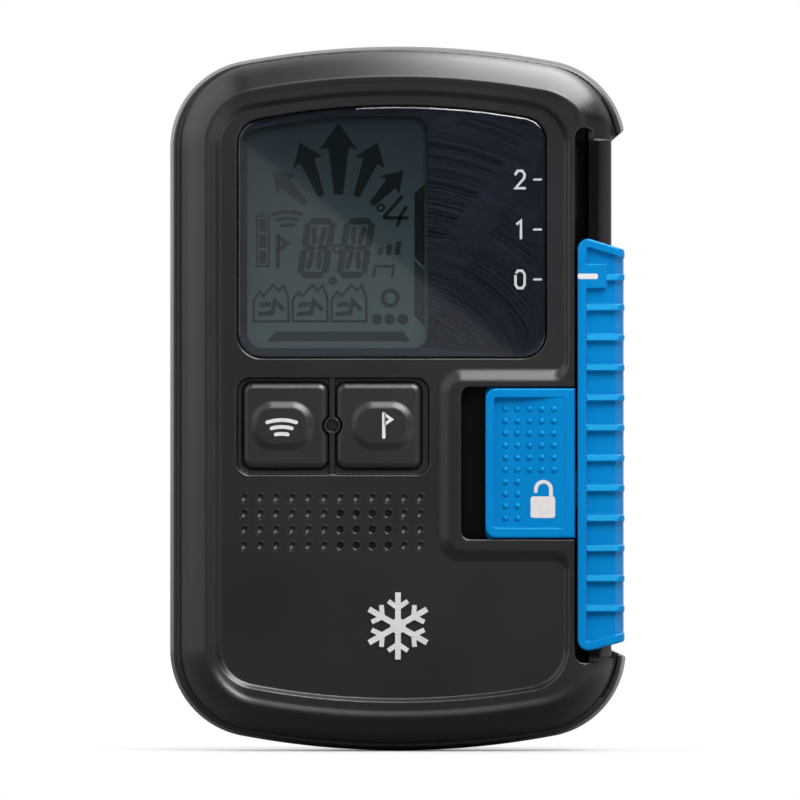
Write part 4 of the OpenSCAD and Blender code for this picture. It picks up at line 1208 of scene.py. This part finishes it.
INK = 0.06
THIN_INK = 0.03
LCD_INK = 0.02
SLIDER_MARK = ((30.0, 33.4), (19.95, 20.85))
scan_icon = waves(KEY_X[0] - 0.65, KEY_Z + 0.95, 1.0)
mark_icon = flag(KEY_X[1] + 0.85, KEY_Z + 0.05, 1.0)
sheet("scan_icon", scan_icon, KEY_FACE_Y - THIN_INK, INK, WHITE_INK, "left_key", "membrane")
sheet("mark_icon", mark_icon, KEY_FACE_Y - THIN_INK, INK, WHITE_INK, "right_key", "membrane")
sheet("lock_icon", padlock(), lambda x, z: scoop_y(x) - THIN_INK, INK, WHITE_INK, "lock", "membrane")
sheet("slider_mark", rounded_box(*SLIDER_MARK, 0.35), FRONT_Y - 0.02, INK, WHITE_INK, "slider", "membrane")
sheet("mode_marks", mode_scale(), MASK_Y - THIN_INK, THIN_INK, WHITE_INK, "casing", "membrane")
sheet("lcd_segments", dark_segments(), LCD[1][0] - LCD_INK, LCD_INK, LCD_DARK, "casing", "lcd")
sheet("lcd_faint_segments", faint_segments(), LCD[1][0] - LCD_INK, LCD_INK, LCD_FAINT, "casing", "lcd")

# ---------- materials of the CAD nodes that stay ----------


def assign(material, *nodes):
    for node in nodes:
        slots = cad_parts[node].data.materials
        slots.clear()
        slots.append(material)


assign(display_face(), "lcd_panel")
assign(MASK, "display_mask")
assign(RUBBER, "main_seal", "window_gasket", "speaker_gasket", "door_seal", "keypad_mat", "lcd_connector")
assign(BOARD, "main_board")
assign(CHIP, "main_chip", "hall_sensors", "speaker")
assign(WHITE, "lcd_backlight", "lcd_frame", "status_led", "speaker_membrane")
assign(FERRITE, "antenna_x_core", "antenna_y_core", "antenna_z_core")
assign(COPPER, "antenna_x_coil", "antenna_y_coil", "antenna_z_coil")
assign(BRASS, "door_screw_insert", "housing_inserts")
assign(CELL, "battery_cells")
assign(LENS, "led_lens")
assign(LABEL, "rating_label")
assign(BADGE_METAL, "badge")
assign(BLACK_STEEL, "housing_screws")
assign(STEEL, "tact_switches", "slider_magnet", "detent_spring", "radio_shield", "bluetooth_module",
       "board_screws", "contact_plates", "contact_springs", "door_hinge_pin", "strap_bar")

# ---------- floor, light and camera: distances in metres ----------

DISTANCE = 4.0
PICTURE_W = 134.08
AIM = (0.335, -0.251)
AMBIENT = 0.06
CARD_REACH = 0.6
scene = bpy.context.scene
scene.view_settings.view_transform = "Standard"


def emitter(name, centre, size, aim, radiance, mirrored_only=False):
    """A softbox whose face has that radiance, unseen by the camera.

    With mirrored_only it shows in glossy reflections and doesn't light matt faces.
    """
    light = bpy.data.lights.new(name, "AREA")
    light.shape = "RECTANGLE"
    light.size, light.size_y = size
    light.energy = radiance * math.pi * size[0] * size[1]
    obj = bpy.data.objects.new(name, light)
    scene.collection.objects.link(obj)
    obj.location = centre
    obj.rotation_mode = "QUATERNION"
    obj.rotation_quaternion = (Vector(aim) - Vector(centre)).to_track_quat("-Z", "Y")
    obj.visible_camera = False
    obj.visible_diffuse = not mirrored_only


def pale_floor():
    bm = bmesh.new()
    bmesh.ops.create_grid(bm, x_segments=40, y_segments=40, size=6.0)
    obj = from_bmesh("floor", bm, smooth=False)
    obj.location = (0, 0, REAR[2][0] * MM)
    mat, bsdf, add = shader("pale_floor")
    place = add("TexCoord").outputs["Object"]
    pale = ramp(add, noise(add, place, 30.0, 3.0), (0.90, 0.90, 0.90), (0.94, 0.94, 0.94))
    seen = add("LightPath").outputs["Is Camera Ray"]
    # The camera sees it pale; on the left it gives less light back than on the right
    bounce = remap(add, add("SeparateXYZ", {"Vector": place}).outputs["X"], 0.03, 0.12, 0.24, 1.0)
    shade = add("MixRGB", {"Fac": seen, "Color1": bounce, "Color2": pale}).outputs["Color"]
    plug(bsdf, {"Base Color": shade, "Roughness": 0.8, "Specular IOR Level": 0.1})
    # The floor glows to pure white away from the unit, so that it runs into the white backdrop
    reach = add("VectorMath", {0: place}, operation="LENGTH").outputs["Value"]
    share = times(add, remap(add, reach, 0.0, 0.06), seen)
    glow = add("Emission", {"Strength": 1.0}).outputs["Emission"]
    surface(mat, add("MixShader", {0: share, 1: bsdf.outputs["BSDF"], 2: glow}).outputs["Shader"])
    obj.data.materials.append(mat)


def reflection_card():
    """A small pale card in front of the display. Its slanted edge is what the window mirrors."""
    bm = bmesh.new()
    spread = 1 + CARD_REACH / DISTANCE
    left, right = WINDOW[0][0] - 3, WINDOW[0][1] + 3
    foot = WINDOW[2][0] - 8
    corners = [(left, 45.9), (right, 1.3), (right, foot), (left, foot)]
    bm.faces.new([vert(bm, x * spread, -CARD_REACH / MM, z * spread) for x, z in corners])
    obj = from_bmesh("reflection_card", bm, smooth=False)
    mat, _, add = shader("card")
    surface(mat, add("Emission", {"Strength": 0.55}).outputs["Emission"])
    obj.data.materials.append(mat)
    obj.visible_camera = False
    obj.visible_diffuse = False
    obj.visible_shadow = False


def studio_world():
    """A white backdrop behind the unit, seen by the camera everywhere; dim elsewhere."""
    world = bpy.data.worlds.new("studio")
    scene.world = world
    world.use_nodes = True
    add = node_adder(world.node_tree)
    direction = add("TexCoord").outputs["Generated"]
    away = add("SeparateXYZ", {"Vector": direction}).outputs["Y"]
    lit = remap(add, away, 0.35, 0.75, AMBIENT, 1.0)
    strength = remap(add, add("LightPath").outputs["Is Camera Ray"], 0.0, 1.0, lit, 1.0)
    plug(world.node_tree.nodes["Background"], {"Color": (1, 1, 1, 1), "Strength": strength})


def studio_camera():
    cam = bpy.data.cameras.new("camera")
    cam.sensor_width = 36
    cam.lens = cam.sensor_width * DISTANCE / (PICTURE_W * MM)
    cam.clip_end = 50
    obj = bpy.data.objects.new("camera", cam)
    scene.collection.objects.link(obj)
    obj.location = (AIM[0] * MM, -DISTANCE, AIM[1] * MM)
    obj.rotation_euler = (math.pi / 2, 0, 0)
    scene.camera = obj


pale_floor()
reflection_card()
studio_world()
studio_camera()
emitter("top_right_box", (0.36, -0.12, 0.62), (0.66, 1.22), (0.36, -0.12, 0.0), 9.2, mirrored_only=True)
emitter("key_box", (0.45, -0.95, 0.90), (0.9, 0.9), (0, 0, 0), 7.5)
emitter("upper_left_box", (-0.62, -0.36, 0.38), (1.45, 0.96), (0, -0.36, 0), 1.4)
emitter("front_fill", (-1.95, -6.0, 0.3), (3.0, 3.0), (-1.95, 0, 0.3), 0.48)
